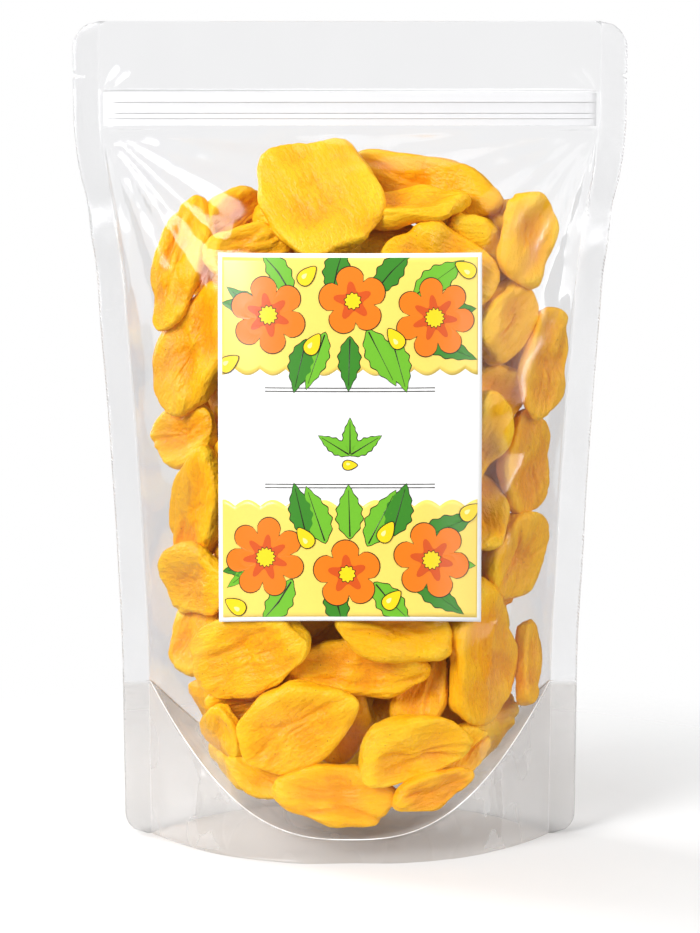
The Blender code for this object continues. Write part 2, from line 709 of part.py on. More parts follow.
def make_fruit(material):
    """Lay, settle and press all the dried pieces, and add each as a body."""
    rng = np.random.default_rng(SEED)
    pieces = []
    for x, z, turn, length, width, flat, behind, egg, tip, hollow in FRONT_PIECES:
        shape = (egg, tip, hollow)
        pieces.append(laid_on_film(x, z, -1, turn, (length, width, flat), behind, rng, shape))
    for x, z, turn, length, width, flat in BACK_PIECES:
        shape = (rng.uniform(0, 0.3), rng.uniform(0, 0.3), rng.uniform(0.1, 0.4))
        pieces.append(laid_on_film(x, z, 1, turn, (length, width, flat), BACK_BEHIND, rng, shape))
    own = len(pieces)
    pieces += lay_heap(rng)
    settle(pieces, SETTLE_ROUNDS)
    core = Lobe(CORE_CENTRE, np.array(((0, 0, 1.0), (1, 0, 0), (0, 1, 0))),
                (2 * CORE_REACH[2], 2 * CORE_REACH[0], 2 * CORE_REACH[1]), rng, (0, 0, 0), 12, True)
    pieces.append(core)
    meshes = press_together(pieces)
    inner = []
    for number, (piece, mesh) in enumerate(zip(pieces, meshes), 1):
        name = f"jackfruit_piece_{number:02d}" if number <= own else f"inner_{number:02d}"
        body = add_body(name, mesh, piece.faces(), material)
        if number > own:
            inner.append(body)
    fuse("jackfruit_heap_inside", inner[::-1], material)


def main():
    """Build the whole pouch."""
    clear_scene()
    film = make_material("clear_film", (0.92, 0.93, 0.94), 0.12, 0.3)
    paper = make_material("label_paper", (0.93, 0.93, 0.92), 0.45)
    fruit = make_material("dried_jackfruit", (0.86, 0.50, 0.08), 0.55)
    make_panel("front_panel", -1, film)
    make_panel("back_panel", 1, film)
    make_gusset(film)
    make_zip(film)
    make_label(paper)
    make_fruit(fruit)


main()
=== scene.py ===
"""Looks of a clear stand-up zip pouch that is full of dried jackfruit pieces.

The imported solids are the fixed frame. Film, label, print and fruit are surfaces worked out with numpy
around them. Shapes are worked out in millimetres and turned into metres when a mesh is made: +Z is up
and the front of the pouch faces -Y.
"""

import logging
import math
from dataclasses import dataclass, field
from enum import Enum

import bpy
import numpy as np
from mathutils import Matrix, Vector


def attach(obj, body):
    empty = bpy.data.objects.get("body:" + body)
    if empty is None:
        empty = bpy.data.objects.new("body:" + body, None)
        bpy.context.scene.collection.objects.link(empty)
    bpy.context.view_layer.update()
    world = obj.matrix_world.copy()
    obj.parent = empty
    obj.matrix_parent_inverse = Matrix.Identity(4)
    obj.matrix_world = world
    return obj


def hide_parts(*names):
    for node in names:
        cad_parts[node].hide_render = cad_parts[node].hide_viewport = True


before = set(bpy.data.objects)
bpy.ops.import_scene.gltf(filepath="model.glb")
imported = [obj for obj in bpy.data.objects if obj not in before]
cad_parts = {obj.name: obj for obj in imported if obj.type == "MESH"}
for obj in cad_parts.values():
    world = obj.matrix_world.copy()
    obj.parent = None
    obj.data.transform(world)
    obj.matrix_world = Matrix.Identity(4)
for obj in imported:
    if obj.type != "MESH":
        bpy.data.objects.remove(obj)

LOG = logging.getLogger("pouch")
MM = 0.001
BODY = "root"
Colour = tuple[float, float, float]

# This many of the dried pieces, the first ones by number, lie in front and get finer grids
FRONT_COUNT = 36

# Lines of the flat sheet run from 0 in its middle, over the seal's inner edge, to its cut edge
SEAL_LINE = 90.0
EDGE_LINE = 100.0


class Side(Enum):
    """Which panel of the pouch a surface belongs to, as the sign of y."""

    FRONT = -1
    BACK = 1


class Ink(Enum):
    """The printing inks of the label, as sRGB values."""

    LINE = (34, 28, 18)
    ORANGE = (238, 124, 18)
    DEEP_ORANGE = (214, 84, 22)
    YELLOW = (251, 214, 22)
    PALE = (250, 240, 158)
    GREEN = (112, 186, 44)
    DARK_GREEN = (58, 134, 36)


def linear(colour: tuple[int, int, int]) -> Colour:
    """Turn an sRGB colour into the linear values that shaders use.

    Args:
        colour: Red, green and blue from 0 to 255.

    Returns:
        The linear red, green and blue.
    """
    shares = np.array(colour, float) / 255.0
    values = np.where(shares <= 0.04045, shares / 12.92, ((shares + 0.055) / 1.055) ** 2.4)
    return tuple(float(value) for value in values)


# Meshes from numpy arrays


def add_mesh(name: str, vertices: np.ndarray, faces: list[np.ndarray],
             smooth: bool = True) -> bpy.types.Object:
    """Make a mesh object from millimetre vertices.

    Args:
        name: The piece's name.
        vertices: An array of n by 3 positions in millimetres.
        faces: Arrays of vertex indices, one for each number of corners.
        smooth: Whether its shading is smooth.

    Returns:
        The new object, at the origin.
    """
    corners = np.concatenate([block.ravel() for block in faces])
    sizes = np.concatenate([np.full(len(block), block.shape[1]) for block in faces])
    starts = np.concatenate(([0], np.cumsum(sizes)[:-1]))
    mesh = bpy.data.meshes.new(name)
    mesh.vertices.add(len(vertices))
    mesh.vertices.foreach_set("co", (vertices * MM).ravel())
    mesh.loops.add(len(corners))
    mesh.loops.foreach_set("vertex_index", corners.astype(np.int32))
    mesh.polygons.add(len(sizes))
    mesh.polygons.foreach_set("loop_start", starts.astype(np.int32))
    mesh.update(calc_edges=True)
    mesh.polygons.foreach_set("use_smooth", np.full(len(sizes), smooth))
    piece = bpy.data.objects.new(name, mesh)
    bpy.context.scene.collection.objects.link(piece)
    return piece


def add_value(piece: bpy.types.Object, name: str, values: np.ndarray) -> None:
    """Store one number or one vector for each vertex, for the materials to read.

    Args:
        piece: The object that gets the attribute.
        name: The attribute's name.
        values: An array of n numbers, or of n by 3.
    """
    kind = "FLOAT_VECTOR" if values.ndim == 2 else "FLOAT"
    layer = piece.data.attributes.new(name, kind, "POINT")
    layer.data.foreach_set("vector" if values.ndim == 2 else "value", values.astype(np.float32).ravel())


def read_array(items: bpy.types.bpy_prop_collection, name: str, width: int = 3) -> np.ndarray:
    """Read one property of all of a mesh's vertices or triangles.

    Args:
        items: The vertices or triangles.
        name: The property.
        width: How many values each one has.

    Returns:
        An array of n by width values.
    """
    values = np.empty(len(items) * width, np.int32 if name == "vertices" else float)
    items.foreach_get(name, values)
    return values.reshape(-1, width)


def triangles(mesh: bpy.types.Mesh) -> np.ndarray:
    """Read a mesh's triangles as an array of n by 3 by 3 corner positions in metres."""
    mesh.calc_loop_triangles()
    return read_array(mesh.vertices, "co")[read_array(mesh.loop_triangles, "vertices")]


def grid_quads(rows: int, columns: int, first: int = 0, flip: bool = False) -> np.ndarray:
    """List the four-sided faces of a grid of vertices.

    Args:
        rows: Number of rows of vertices.
        columns: Number of vertices in a row.
        first: Index of the grid's first vertex.
        flip: Whether the faces point the other way.

    Returns:
        An array of m by 4 vertex indices.
    """
    index = first + np.arange(rows * columns).reshape(rows, columns)
    low, high = index[:-1], index[1:]
    quads = np.stack((low[:, :-1], low[:, 1:], high[:, 1:], high[:, :-1]), axis=-1).reshape(-1, 4)
    return quads[:, ::-1] if flip else quads


def sheet_faces(rows: int, columns: int, flip: bool) -> np.ndarray:
    """List the faces of a closed sheet: the outer grid, the inner grid and the rim between them.

    Args:
        rows: Number of rows of vertices in each grid.
        columns: Number of vertices in a row.
        flip: Whether the outer grid's faces point the other way.

    Returns:
        An array of m by 4 vertex indices.
    """
    count = rows * columns
    index = np.arange(count).reshape(rows, columns)
    ring = np.concatenate((index[0, :-1], index[:-1, -1], index[-1, :0:-1], index[:0:-1, 0]))
    after = np.roll(ring, -1)
    rim = np.stack((after, ring, ring + count, after + count), axis=-1)
    rim = rim[:, ::-1] if flip else rim
    inner = grid_quads(rows, columns, count, not flip)
    return np.concatenate((grid_quads(rows, columns, 0, flip), inner, rim))


def add_sheet(name: str, outer: np.ndarray, inner: np.ndarray, flip: bool) -> bpy.types.Object:
    """Make a thin closed sheet from two grids of points.

    Args:
        name: The piece's name.
        outer: Rows by columns by 3 points of the outer face.
        inner: The same for the inner face.
        flip: Whether the outer grid's faces point the other way.

    Returns:
        The new object.
    """
    rows, columns = outer.shape[:2]
    vertices = np.concatenate((outer.reshape(-1, 3), inner.reshape(-1, 3)))
    return add_mesh(name, vertices, [sheet_faces(rows, columns, flip)])


def ball_faces(rings: int, around: int) -> list[np.ndarray]:
    """List the faces of rings of vertices between two poles, which come last.

    Args:
        rings: Number of rings.
        around: Number of vertices in a ring.

    Returns:
        The three-sided faces at the poles and the four-sided faces between the rings.
    """
    here = np.arange(around)
    after = np.roll(here, -1)
    first, last = rings * around, rings * around + 1
    low = (rings - 1) * around
    caps = np.concatenate((np.stack((np.full(around, first), here, after), -1),
                           np.stack((low + after, low + here, np.full(around, last)), -1)))
    starts = (np.arange(rings - 1) * around)[:, None]
    quads = np.stack((starts + here, starts + around + here, starts + around + after, starts + after), -1)
    return [caps, quads.reshape(-1, 4)]


def smooth_curve(at: np.ndarray, knots: tuple, values: tuple) -> np.ndarray:
    """Read a smooth curve through given knots: cubic pieces, slopes from both neighbours.

    Args:
        at: Where the curve is read.
        knots: Places of the knots, rising.
        values: Values at the knots.

    Returns:
        The curve's values.
    """
    knot = np.asarray(knots, float)
    value = np.asarray(values, float)
    steps = np.diff(value) / np.diff(knot)
    slopes = np.concatenate(([steps[0]], (steps[:-1] + steps[1:]) / 2, [steps[-1]]))
    slopes[1:-1][steps[:-1] * steps[1:] <= 0] = 0.0
    at = np.clip(np.asarray(at, float), knot[0], knot[-1])
    piece = np.clip(np.searchsorted(knot, at, side="right") - 1, 0, len(knot) - 2)
    width = knot[piece + 1] - knot[piece]
    t = (at - knot[piece]) / width
    rise = (2 * t ** 3 - 3 * t ** 2 + 1) * value[piece] + (3 * t ** 2 - 2 * t ** 3) * value[piece + 1]
    lean = (t ** 3 - 2 * t ** 2 + t) * slopes[piece] + (t ** 3 - t ** 2) * slopes[piece + 1]
    return rise + lean * width


def ease(value: np.ndarray, low: float, high: float) -> np.ndarray:
    """Rise smoothly from 0 at low to 1 at high: 3 t squared less 2 t cubed."""
    share = np.clip((value - low) / (high - low), 0.0, 1.0)
    return share * share * (3.0 - 2.0 * share)


def waves(rng: np.random.Generator, first: np.ndarray, second: np.ndarray, length: float,
          count: int) -> np.ndarray:
    """Add up plane waves of one typical length, in random directions and phases.

    Args:
        rng: The seeded generator.
        first: First coordinate in millimetres.
        second: Second coordinate in millimetres.
        length: Typical wave length in millimetres.
        count: Number of waves.

    Returns:
        A smooth random field with values around -1 to 1.
    """
    total = np.zeros(np.broadcast(first, second).shape)
    for _ in range(count):
        turn = rng.uniform(0, 2 * math.pi)
        step = 2 * math.pi / (length * rng.uniform(0.7, 1.4))
        total += np.sin(step * (first * math.cos(turn) + second * math.sin(turn)) + rng.uniform(0, 6.3))
    return total * math.sqrt(2.0 / count)


@dataclass(frozen=True)
class PouchForm:
    """The filled pouch's shape, from the same driving dimensions as its solids, in millimetres."""

    height: float = 300.0
    side_seal: float = 10.0
    top_corner: float = 10.0
    bottom_corner: float = 8.0
    edge_room: float = 2.0
    notch_depth: float = 2.0
    notch_height: float = 280.6
    notch_half: float = 1.0
    bulge_power: float = 2.7
    wall: float = 0.5
    zip_reach: float = 2.4
    weld_low: float = 9.0
    weld_rise: float = 49.0
    weld_power: float = 1.35
    weld_half_span: float = 74.0
    gusset_sag: float = 3.0
    label_half_width: float = 47.0
    label_low: float = 88.8
    label_high: float = 218.0
    label_corner_drop: float = 2.6
    side_heights: tuple = (0, 33, 78, 100, 123, 145, 167, 190, 212, 223, 235, 246, 257, 268, 300)
    side_widths: tuple = (83.9, 84.2, 84.6, 85.7, 86.8, 88, 89.4, 91, 92.4, 93.9, 95.6, 98, 99.5, 100, 100)
    bulge_heights: tuple = (0, 30, 60, 100, 145, 190, 212, 224, 236, 246, 255, 263, 300)
    bulge_depths: tuple = (41.5, 43.5, 43.5, 41, 37.5, 32, 28, 24.5, 19.5, 13.5, 7, 1.2, 0)

    def seam(self, z: np.ndarray) -> np.ndarray:
        """Half width to the outer edge of the side seals, without the rounded corners."""
        return smooth_curve(z, self.side_heights, self.side_widths)

    def edge(self, z: np.ndarray) -> np.ndarray:
        """Half width of the cut sheet, with rounded corners and tear notches.

        Args:
            z: Heights.

        Returns:
            The seam's half width less circular corners and a V at the notch.
        """
        over = np.clip(z - (self.height - self.top_corner), 0, self.top_corner)
        under = np.clip(self.bottom_corner - z, 0, self.bottom_corner)
        half = self.seam(z) - self.top_corner + np.sqrt(self.top_corner ** 2 - over ** 2)
        half = half - self.bottom_corner + np.sqrt(self.bottom_corner ** 2 - under ** 2)
        notch = np.clip(1 - np.abs(z - self.notch_height) / self.notch_half, 0, 1)
        return half - self.notch_depth * notch

    def bulge(self, x: np.ndarray, z: np.ndarray) -> np.ndarray:
        """Distance of the film from the seam plane: depth times 1 less a power of the share across."""
        inner = self.seam(z) - self.side_seal
        depth = smooth_curve(z, self.bulge_heights, self.bulge_depths)
        share = np.clip(np.abs(x) / inner, 0, 1)
        return depth * (1 - share ** self.bulge_power)

    def slant(self, x: np.ndarray, z: np.ndarray) -> np.ndarray:
        """How much longer a step in y must be to pass the leaning film at right angles."""
        step = 0.5
        across = (self.bulge(x + step, z) - self.bulge(x - step, z)) / (2 * step)
        up = (self.bulge(x, z + step) - self.bulge(x, z - step)) / (2 * step)
        return np.minimum(np.sqrt(1 + across ** 2 + up ** 2), 1.7)

    def sheet_x(self, line: np.ndarray, z: np.ndarray) -> np.ndarray:
        """Place a line of the flat sheet across the pouch: evenly inside the seals, then over each seal.

        Args:
            line: Lines of the flat sheet.
            z: Heights.

        Returns:
            The x positions.
        """
        edge = self.edge(z)
        inner = np.minimum(self.seam(z) - self.side_seal, edge - self.edge_room)
        size = np.abs(line)
        seal = inner + (edge - inner) * (size - SEAL_LINE) / (EDGE_LINE - SEAL_LINE)
        return np.sign(line) * np.where(size <= SEAL_LINE, inner * size / SEAL_LINE, seal)

    def weld(self, x: np.ndarray) -> np.ndarray:
        """Height of the gusset's curved weld line: a cosine bowl raised to a power."""
        turn = np.clip(np.abs(x) / self.weld_half_span, 0, 1) * math.pi / 2
        return self.weld_low + self.weld_rise * (1 - np.cos(turn)) ** self.weld_power

    def gusset(self, x: np.ndarray, y: np.ndarray) -> np.ndarray:
        """Height of the gusset between its two weld lines, sagging toward the middle."""
        share = np.clip(1 - (x / self.weld_half_span) ** 2, 0, 1)
        width = np.maximum(self.bulge(x, self.weld(x)), 1.0)
        return self.weld(x) - self.gusset_sag * share * np.clip(1 - (y / width) ** 2, 0, 1)


FORM = PouchForm()


# Finishes


class Shader:
    """A small helper that adds and joins the nodes of one material or node group."""

    def __init__(self, tree: bpy.types.NodeTree) -> None:
        """Keep the node tree that nodes are added to."""
        self.tree = tree

    def node(self, kind: str, settings: dict | None = None, **values: object) -> bpy.types.Node:
        """Add a node.

        Args:
            kind: The node's class name.
            settings: Properties of the node itself.
            values: Input values or output sockets to join, by input name with _ for a space.

        Returns:
            The new node.
        """
        made = self.tree.nodes.new(kind)
        for name, value in (settings or {}).items():
            setattr(made, name, value)
        for name, value in values.items():
            self.put(made.inputs[name.replace("_", " ")], value)
        return made

    def put(self, socket: bpy.types.NodeSocket, value: object) -> None:
        """Join a socket to another, or set its value."""
        if isinstance(value, bpy.types.NodeSocket):
            self.tree.links.new(value, socket)
        elif isinstance(value, tuple) and len(value) == 3 and socket.type == "RGBA":
            socket.default_value = (*value, 1.0)
        else:
            socket.default_value = value

    def maths(self, operation: str, first: object, second: object = 0.0, clamp: bool = False) -> object:
        """Add a Math node and return its output."""
        made = self.node("ShaderNodeMath", {"operation": operation, "use_clamp": clamp})
        self.put(made.inputs[0], first)
        self.put(made.inputs[1], second)
        return made.outputs[0]

    def weighted(self, parts: tuple) -> object:
        """Add up values, each times its weight, and return the output."""
        total = self.maths("MULTIPLY", *parts[0])
        for value, weight in parts[1:]:
            total = self.maths("ADD", total, self.maths("MULTIPLY", value, weight))
        return total

    def spread(self, value: object, low: float, high: float, to_low: float, to_high: float) -> object:
        """Map a value from one range to another, clamped, and return the output."""
        made = self.node("ShaderNodeMapRange", {"clamp": True}, Value=value)
        for name, number in (("From Min", low), ("From Max", high), ("To Min", to_low), ("To Max", to_high)):
            made.inputs[name].default_value = number
        return made.outputs["Result"]

    def blend(self, share: object, first: object, second: object) -> object:
        """Mix two colours and return the output."""
        made = self.node("ShaderNodeMix", {"data_type": "RGBA"})
        self.put(made.inputs[0], share)
        self.put(made.inputs[6], first)
        self.put(made.inputs[7], second)
        return made.outputs[2]

    def attribute(self, name: str, output: str = "Fac") -> object:
        """Read a vertex attribute and return one of its outputs."""
        return self.node("ShaderNodeAttribute", {"attribute_name": name}).outputs[output]

    def noise(self, vector: object, scale: object, detail: float = 2.0, roughness: float = 0.5) -> object:
        """Add a noise texture and return its value."""
        made = self.node("ShaderNodeTexNoise", None, Vector=vector, Scale=scale, Detail=detail)
        made.inputs["Roughness"].default_value = roughness
        return made.outputs["Fac"]

    def bump(self, height: object, strength: float, distance: float) -> object:
        """Add a Bump node and return its normal."""
        made = self.node("ShaderNodeBump", None, Height=height, Strength=strength, Distance=distance)
        return made.outputs["Normal"]

    def stretch(self, vector: object, scale: tuple[float, float, float]) -> object:
        """Scale a vector and return the output."""
        made = self.node("ShaderNodeMapping", None, Vector=vector)
        made.inputs["Scale"].default_value = scale
        return made.outputs["Vector"]


def new_material(name: str) -> tuple[bpy.types.Material, Shader, bpy.types.Node]:
    """Make an empty node material.

    Args:
        name: The material's name.

    Returns:
        The material, its node helper and its output node.
    """
    material = bpy.data.materials.new(name)
    material.use_nodes = True
    material.node_tree.nodes.clear()
    shader = Shader(material.node_tree)
    return material, shader, shader.node("ShaderNodeOutputMaterial")


def surface_grain() -> bpy.types.NodeTree:
    """Build the shared grain: fine mottling of a surface as a tint value and a height.

    Returns:
        The node group, with inputs Vector, Scale and Strength and outputs Tint and Height.
    """
    name = "surface_grain"
    if name in bpy.data.node_groups:
        return bpy.data.node_groups[name]
    group = bpy.data.node_groups.new(name, "ShaderNodeTree")
    group.interface.new_socket("Vector", in_out="INPUT", socket_type="NodeSocketVector")
    group.interface.new_socket("Scale", in_out="INPUT", socket_type="NodeSocketFloat")
    group.interface.new_socket("Strength", in_out="INPUT", socket_type="NodeSocketFloat")
    group.interface.new_socket("Tint", in_out="OUTPUT", socket_type="NodeSocketFloat")
    group.interface.new_socket("Height", in_out="OUTPUT", socket_type="NodeSocketFloat")
    shader = Shader(group)
    come = shader.node("NodeGroupInput")
    leave = shader.node("NodeGroupOutput")
    place, scale = come.outputs["Vector"], come.outputs["Scale"]
    coarse = shader.noise(place, scale, 3.0)
    fine = shader.noise(place, shader.maths("MULTIPLY", scale, 6.0))
    both = shader.maths("ADD", coarse, fine)
    centred = shader.maths("SUBTRACT", both, 1.0)
    strong = shader.maths("MULTIPLY", centred, come.outputs["Strength"])
    shader.put(leave.inputs["Tint"], shader.maths("ADD", strong, 0.5))
    shader.put(leave.inputs["Height"], both)
    return group


@dataclass(frozen=True)
class FruitFinish:
    """Leathery golden dried fruit: warm, with painted shade in its hollows and wrinkle lines, a painted
    highlight on its rims, fine wrinkles and tiny specks.
    """

    body: Colour = linear((251, 184, 6))
    # The pale colour is partly a painted highlight on raised rims, and the deep one partly painted shade in
    # hollows.
    pale: Colour = linear((254, 203, 34))
    deep_tone_and_shade: Colour = linear((240, 155, 3))
    # The line colour is painted shade along the wrinkle lines.
    line: Colour = linear((206, 122, 8))
    speck: Colour = linear((140, 78, 20))
    roughness: float = 0.38

    def make(self) -> bpy.types.Material:
        """Build the material, which reads the attributes grain, relief and tone: the relief paints a
        highlight on raised parts and shade in hollows.

        The wrinkles are thin lines where stretched noise crosses its middle value, painted darker as shade in
        the creases.

        Returns:
            The finished material.
        """
        material, shader, out = new_material("dried_jackfruit_flesh")
        grain = shader.attribute("grain", "Vector")
        relief = shader.attribute("relief")
        tone = shader.attribute("tone")
        fibres = shader.noise(shader.stretch(grain, (0.13, 0.40, 0.40)), 1.0, 2.0, 0.6)
        clouds = shader.noise(grain, 0.075, 1.0)
        patches = shader.noise(grain, 0.06, 0.0)
        fine = shader.noise(grain, 0.85, 2.0, 0.65)
        off_middle = shader.maths("ABSOLUTE", shader.maths("SUBTRACT", fibres, 0.5))
        creased = shader.spread(off_middle, 0.0, 0.03, 1.0, 0.0)
        creased = shader.maths("MULTIPLY", creased, shader.spread(patches, 0.38, 0.56, 0.0, 1.0))
        # Painted light: relief makes raised rims paler as a painted highlight and hollows deeper as painted
        # shade; fibres, clouds, tone and fine grain are the flesh's own mottling.
        light = shader.weighted(((relief, 0.5), (fibres, 0.5), (clouds, 0.55), (tone, 0.35), (fine, 0.95)))
        colour = shader.blend(shader.spread(light, 1.26, 1.72, 0.0, 0.9), self.body, self.pale)
        colour = shader.blend(shader.spread(light, 1.08, 0.52, 0.0, 1.0), colour, self.deep_tone_and_shade)
        # Painted shade: the line colour darkens the wrinkle lines.
        colour = shader.blend(shader.maths("MULTIPLY", creased, 0.2), colour, self.line)
        cells = shader.node("ShaderNodeTexVoronoi", {"feature": "F1"}, Vector=grain, Scale=0.34)
        spots = shader.spread(cells.outputs["Distance"], 0.10, 0.05, 0.0, 1.0)
        rare = shader.spread(shader.noise(grain, 0.25, 1.0), 0.50, 0.58, 0.0, 0.85)
        colour = shader.blend(shader.maths("MULTIPLY", spots, rare), colour, self.speck)
        height = shader.weighted(((fibres, 1.0), (creased, -0.07), (fine, 0.4)))
        normal = shader.bump(height, 0.6, 0.0017)
        rough = shader.spread(fine, 0.3, 0.7, self.roughness - 0.1, self.roughness + 0.12)
        skin = shader.node("ShaderNodeBsdfPrincipled", None, Base_Color=colour, Roughness=rough,
                           Normal=normal, Specular_IOR_Level=0.28)
        shader.put(out.inputs["Surface"], skin.outputs["BSDF"])
        return material


@dataclass(frozen=True)
class FilmFinish:
    """Clear glossy film: a mirror-like sheen that grows at grazing angles over a very faint haze."""

    name: str = "clear_laminated_film"
    clearness: Colour = (0.977, 0.977, 0.979)
    # Tint of the two plies below the weld, made a little warm as a painted reflection of the fruit.
    ply_tint_and_reflection: Colour = (0.938, 0.931, 0.924)
    haze: float = 0.004
    ply_haze: float = 0.075
    roughness: float = 0.09
    ply_roughness: float = 0.2
    sheen_strength: float = 0.18
    knurl: float = 0.0
    mirror_share: float = 0.96
    doubled_mirror_share: float = 0.35

    def make(self) -> bpy.types.Material:
        """Build the material, which reads the attributes sheet and ply.

        Returns:
            The finished material.
        """
        material, shader, out = new_material(self.name)
        sheet = shader.attribute("sheet", "Vector")
        ply = shader.attribute("ply")
        cloud = shader.noise(shader.stretch(sheet, (0.06, 0.03, 0.06)), 1.0, 0.0)
        rough = shader.spread(cloud, 0.35, 0.65, 0.6 * self.roughness, 1.5 * self.roughness)
        rough = shader.maths("ADD", rough, shader.maths("MULTIPLY", ply, self.ply_roughness))
        metal = shader.spread(ply, 0.0, 1.0, self.mirror_share, self.doubled_mirror_share)
        gloss = shader.node("ShaderNodeBsdfPrincipled", None, Base_Color=(0.95, 0.95, 0.96), Metallic=metal,
                            Roughness=rough)
        fresnel = shader.node("ShaderNodeFresnel", None, IOR=1.46)
        if self.knurl > 0:
            grain = shader.noise(sheet, 0.9, 1.0)
            rows = shader.node("ShaderNodeTexWave", {"bands_direction": "DIAGONAL"}, Vector=sheet, Scale=0.5)
            height = shader.maths("ADD", shader.maths("MULTIPLY", rows.outputs["Fac"], 0.35), grain)
            normal = shader.bump(height, self.knurl, 0.0006)
            shader.put(gloss.inputs["Normal"], normal)
            shader.put(fresnel.inputs["Normal"], normal)
        mirror = shader.maths("MULTIPLY", fresnel.outputs["Fac"], self.sheen_strength)
        milk = shader.maths("MULTIPLY", ply, self.ply_haze)
        milk = shader.maths("ADD", milk, shader.spread(cloud, 0.3, 0.7, 0.6 * self.haze, 1.4 * self.haze))
        # Below the weld the film takes the two-ply tint, warmed as a painted reflection of the fruit.
        tint = shader.blend(ply, self.clearness, self.ply_tint_and_reflection)
        clear = shader.node("ShaderNodeBsdfTransparent", None, Color=tint)
        mix = shader.node("ShaderNodeMixShader", None, Fac=shader.maths("ADD", mirror, milk, clamp=True))
        shader.put(mix.inputs[1], clear.outputs["BSDF"])
        shader.put(mix.inputs[2], gloss.outputs["BSDF"])
        shader.put(out.inputs["Surface"], mix.outputs["Shader"])
        return material


@dataclass(frozen=True)
class ZipFinish:
    """Cloudy polyethylene of the zip strips and of the weld line, which lets some light through."""

    name: str = "cloudy_zip_plastic"
    colour: Colour = (0.925, 0.925, 0.93)
    roughness: float = 0.3
    body: float = 0.9

    def make(self) -> bpy.types.Material:
        """Build the material: near-white plastic with faint mottling, partly see-through.

        Returns:
            The finished material.
        """
        material, shader, out = new_material(self.name)
        place = shader.node("ShaderNodeTexCoord").outputs["Object"]
        grain = shader.node("ShaderNodeGroup", {"node_tree": surface_grain()}, Vector=place, Scale=90.0,
                            Strength=0.5)
        darker = tuple(0.95 * part for part in self.colour)
        colour = shader.blend(grain.outputs["Tint"], darker, self.colour)
        normal = shader.bump(grain.outputs["Height"], 0.15, 0.0003)
        fresnel = shader.node("ShaderNodeFresnel", None, IOR=1.5, Normal=normal)
        plastic = shader.node("ShaderNodeBsdfPrincipled", None, Base_Color=colour, Roughness=self.roughness,
                              Normal=normal)
        clear = shader.node("ShaderNodeBsdfTransparent", None, Color=(0.99, 0.99, 0.99))
        mix = shader.node("ShaderNodeMixShader", None,
                          Fac=shader.maths("ADD", fresnel.outputs["Fac"], self.body, clamp=True))
        shader.put(mix.inputs[1], clear.outputs["BSDF"])
        shader.put(mix.inputs[2], plastic.outputs["BSDF"])
        shader.put(out.inputs["Surface"], mix.outputs["Shader"])
        return material


@dataclass(frozen=True)
class PaperFinish:
    """Coated label paper, plain or under one of the inks."""

    name: str
    colour: Colour
    mottle: float = 0.25
    roughness: float = 0.38

    def make(self) -> bpy.types.Material:
        """Build the material: the colour with faint mottling and a soft sheen.

        Returns:
            The finished material.
        """
        material, shader, out = new_material(self.name)
        place = shader.node("ShaderNodeTexCoord").outputs["Object"]
        grain = shader.node("ShaderNodeGroup", {"node_tree": surface_grain()}, Vector=place, Scale=160.0,
                            Strength=self.mottle)
        darker = tuple(0.86 * part for part in self.colour)
        colour = shader.blend(grain.outputs["Tint"], darker, self.colour)
        normal = shader.bump(grain.outputs["Height"], 0.06, 0.0002)
        body = shader.node("ShaderNodeBsdfPrincipled", None, Base_Color=colour, Roughness=self.roughness,
                           Normal=normal, Coat_Weight=0.15, Coat_Roughness=0.2)
        shader.put(out.inputs["Surface"], body.outputs["BSDF"])
        return material


# Film


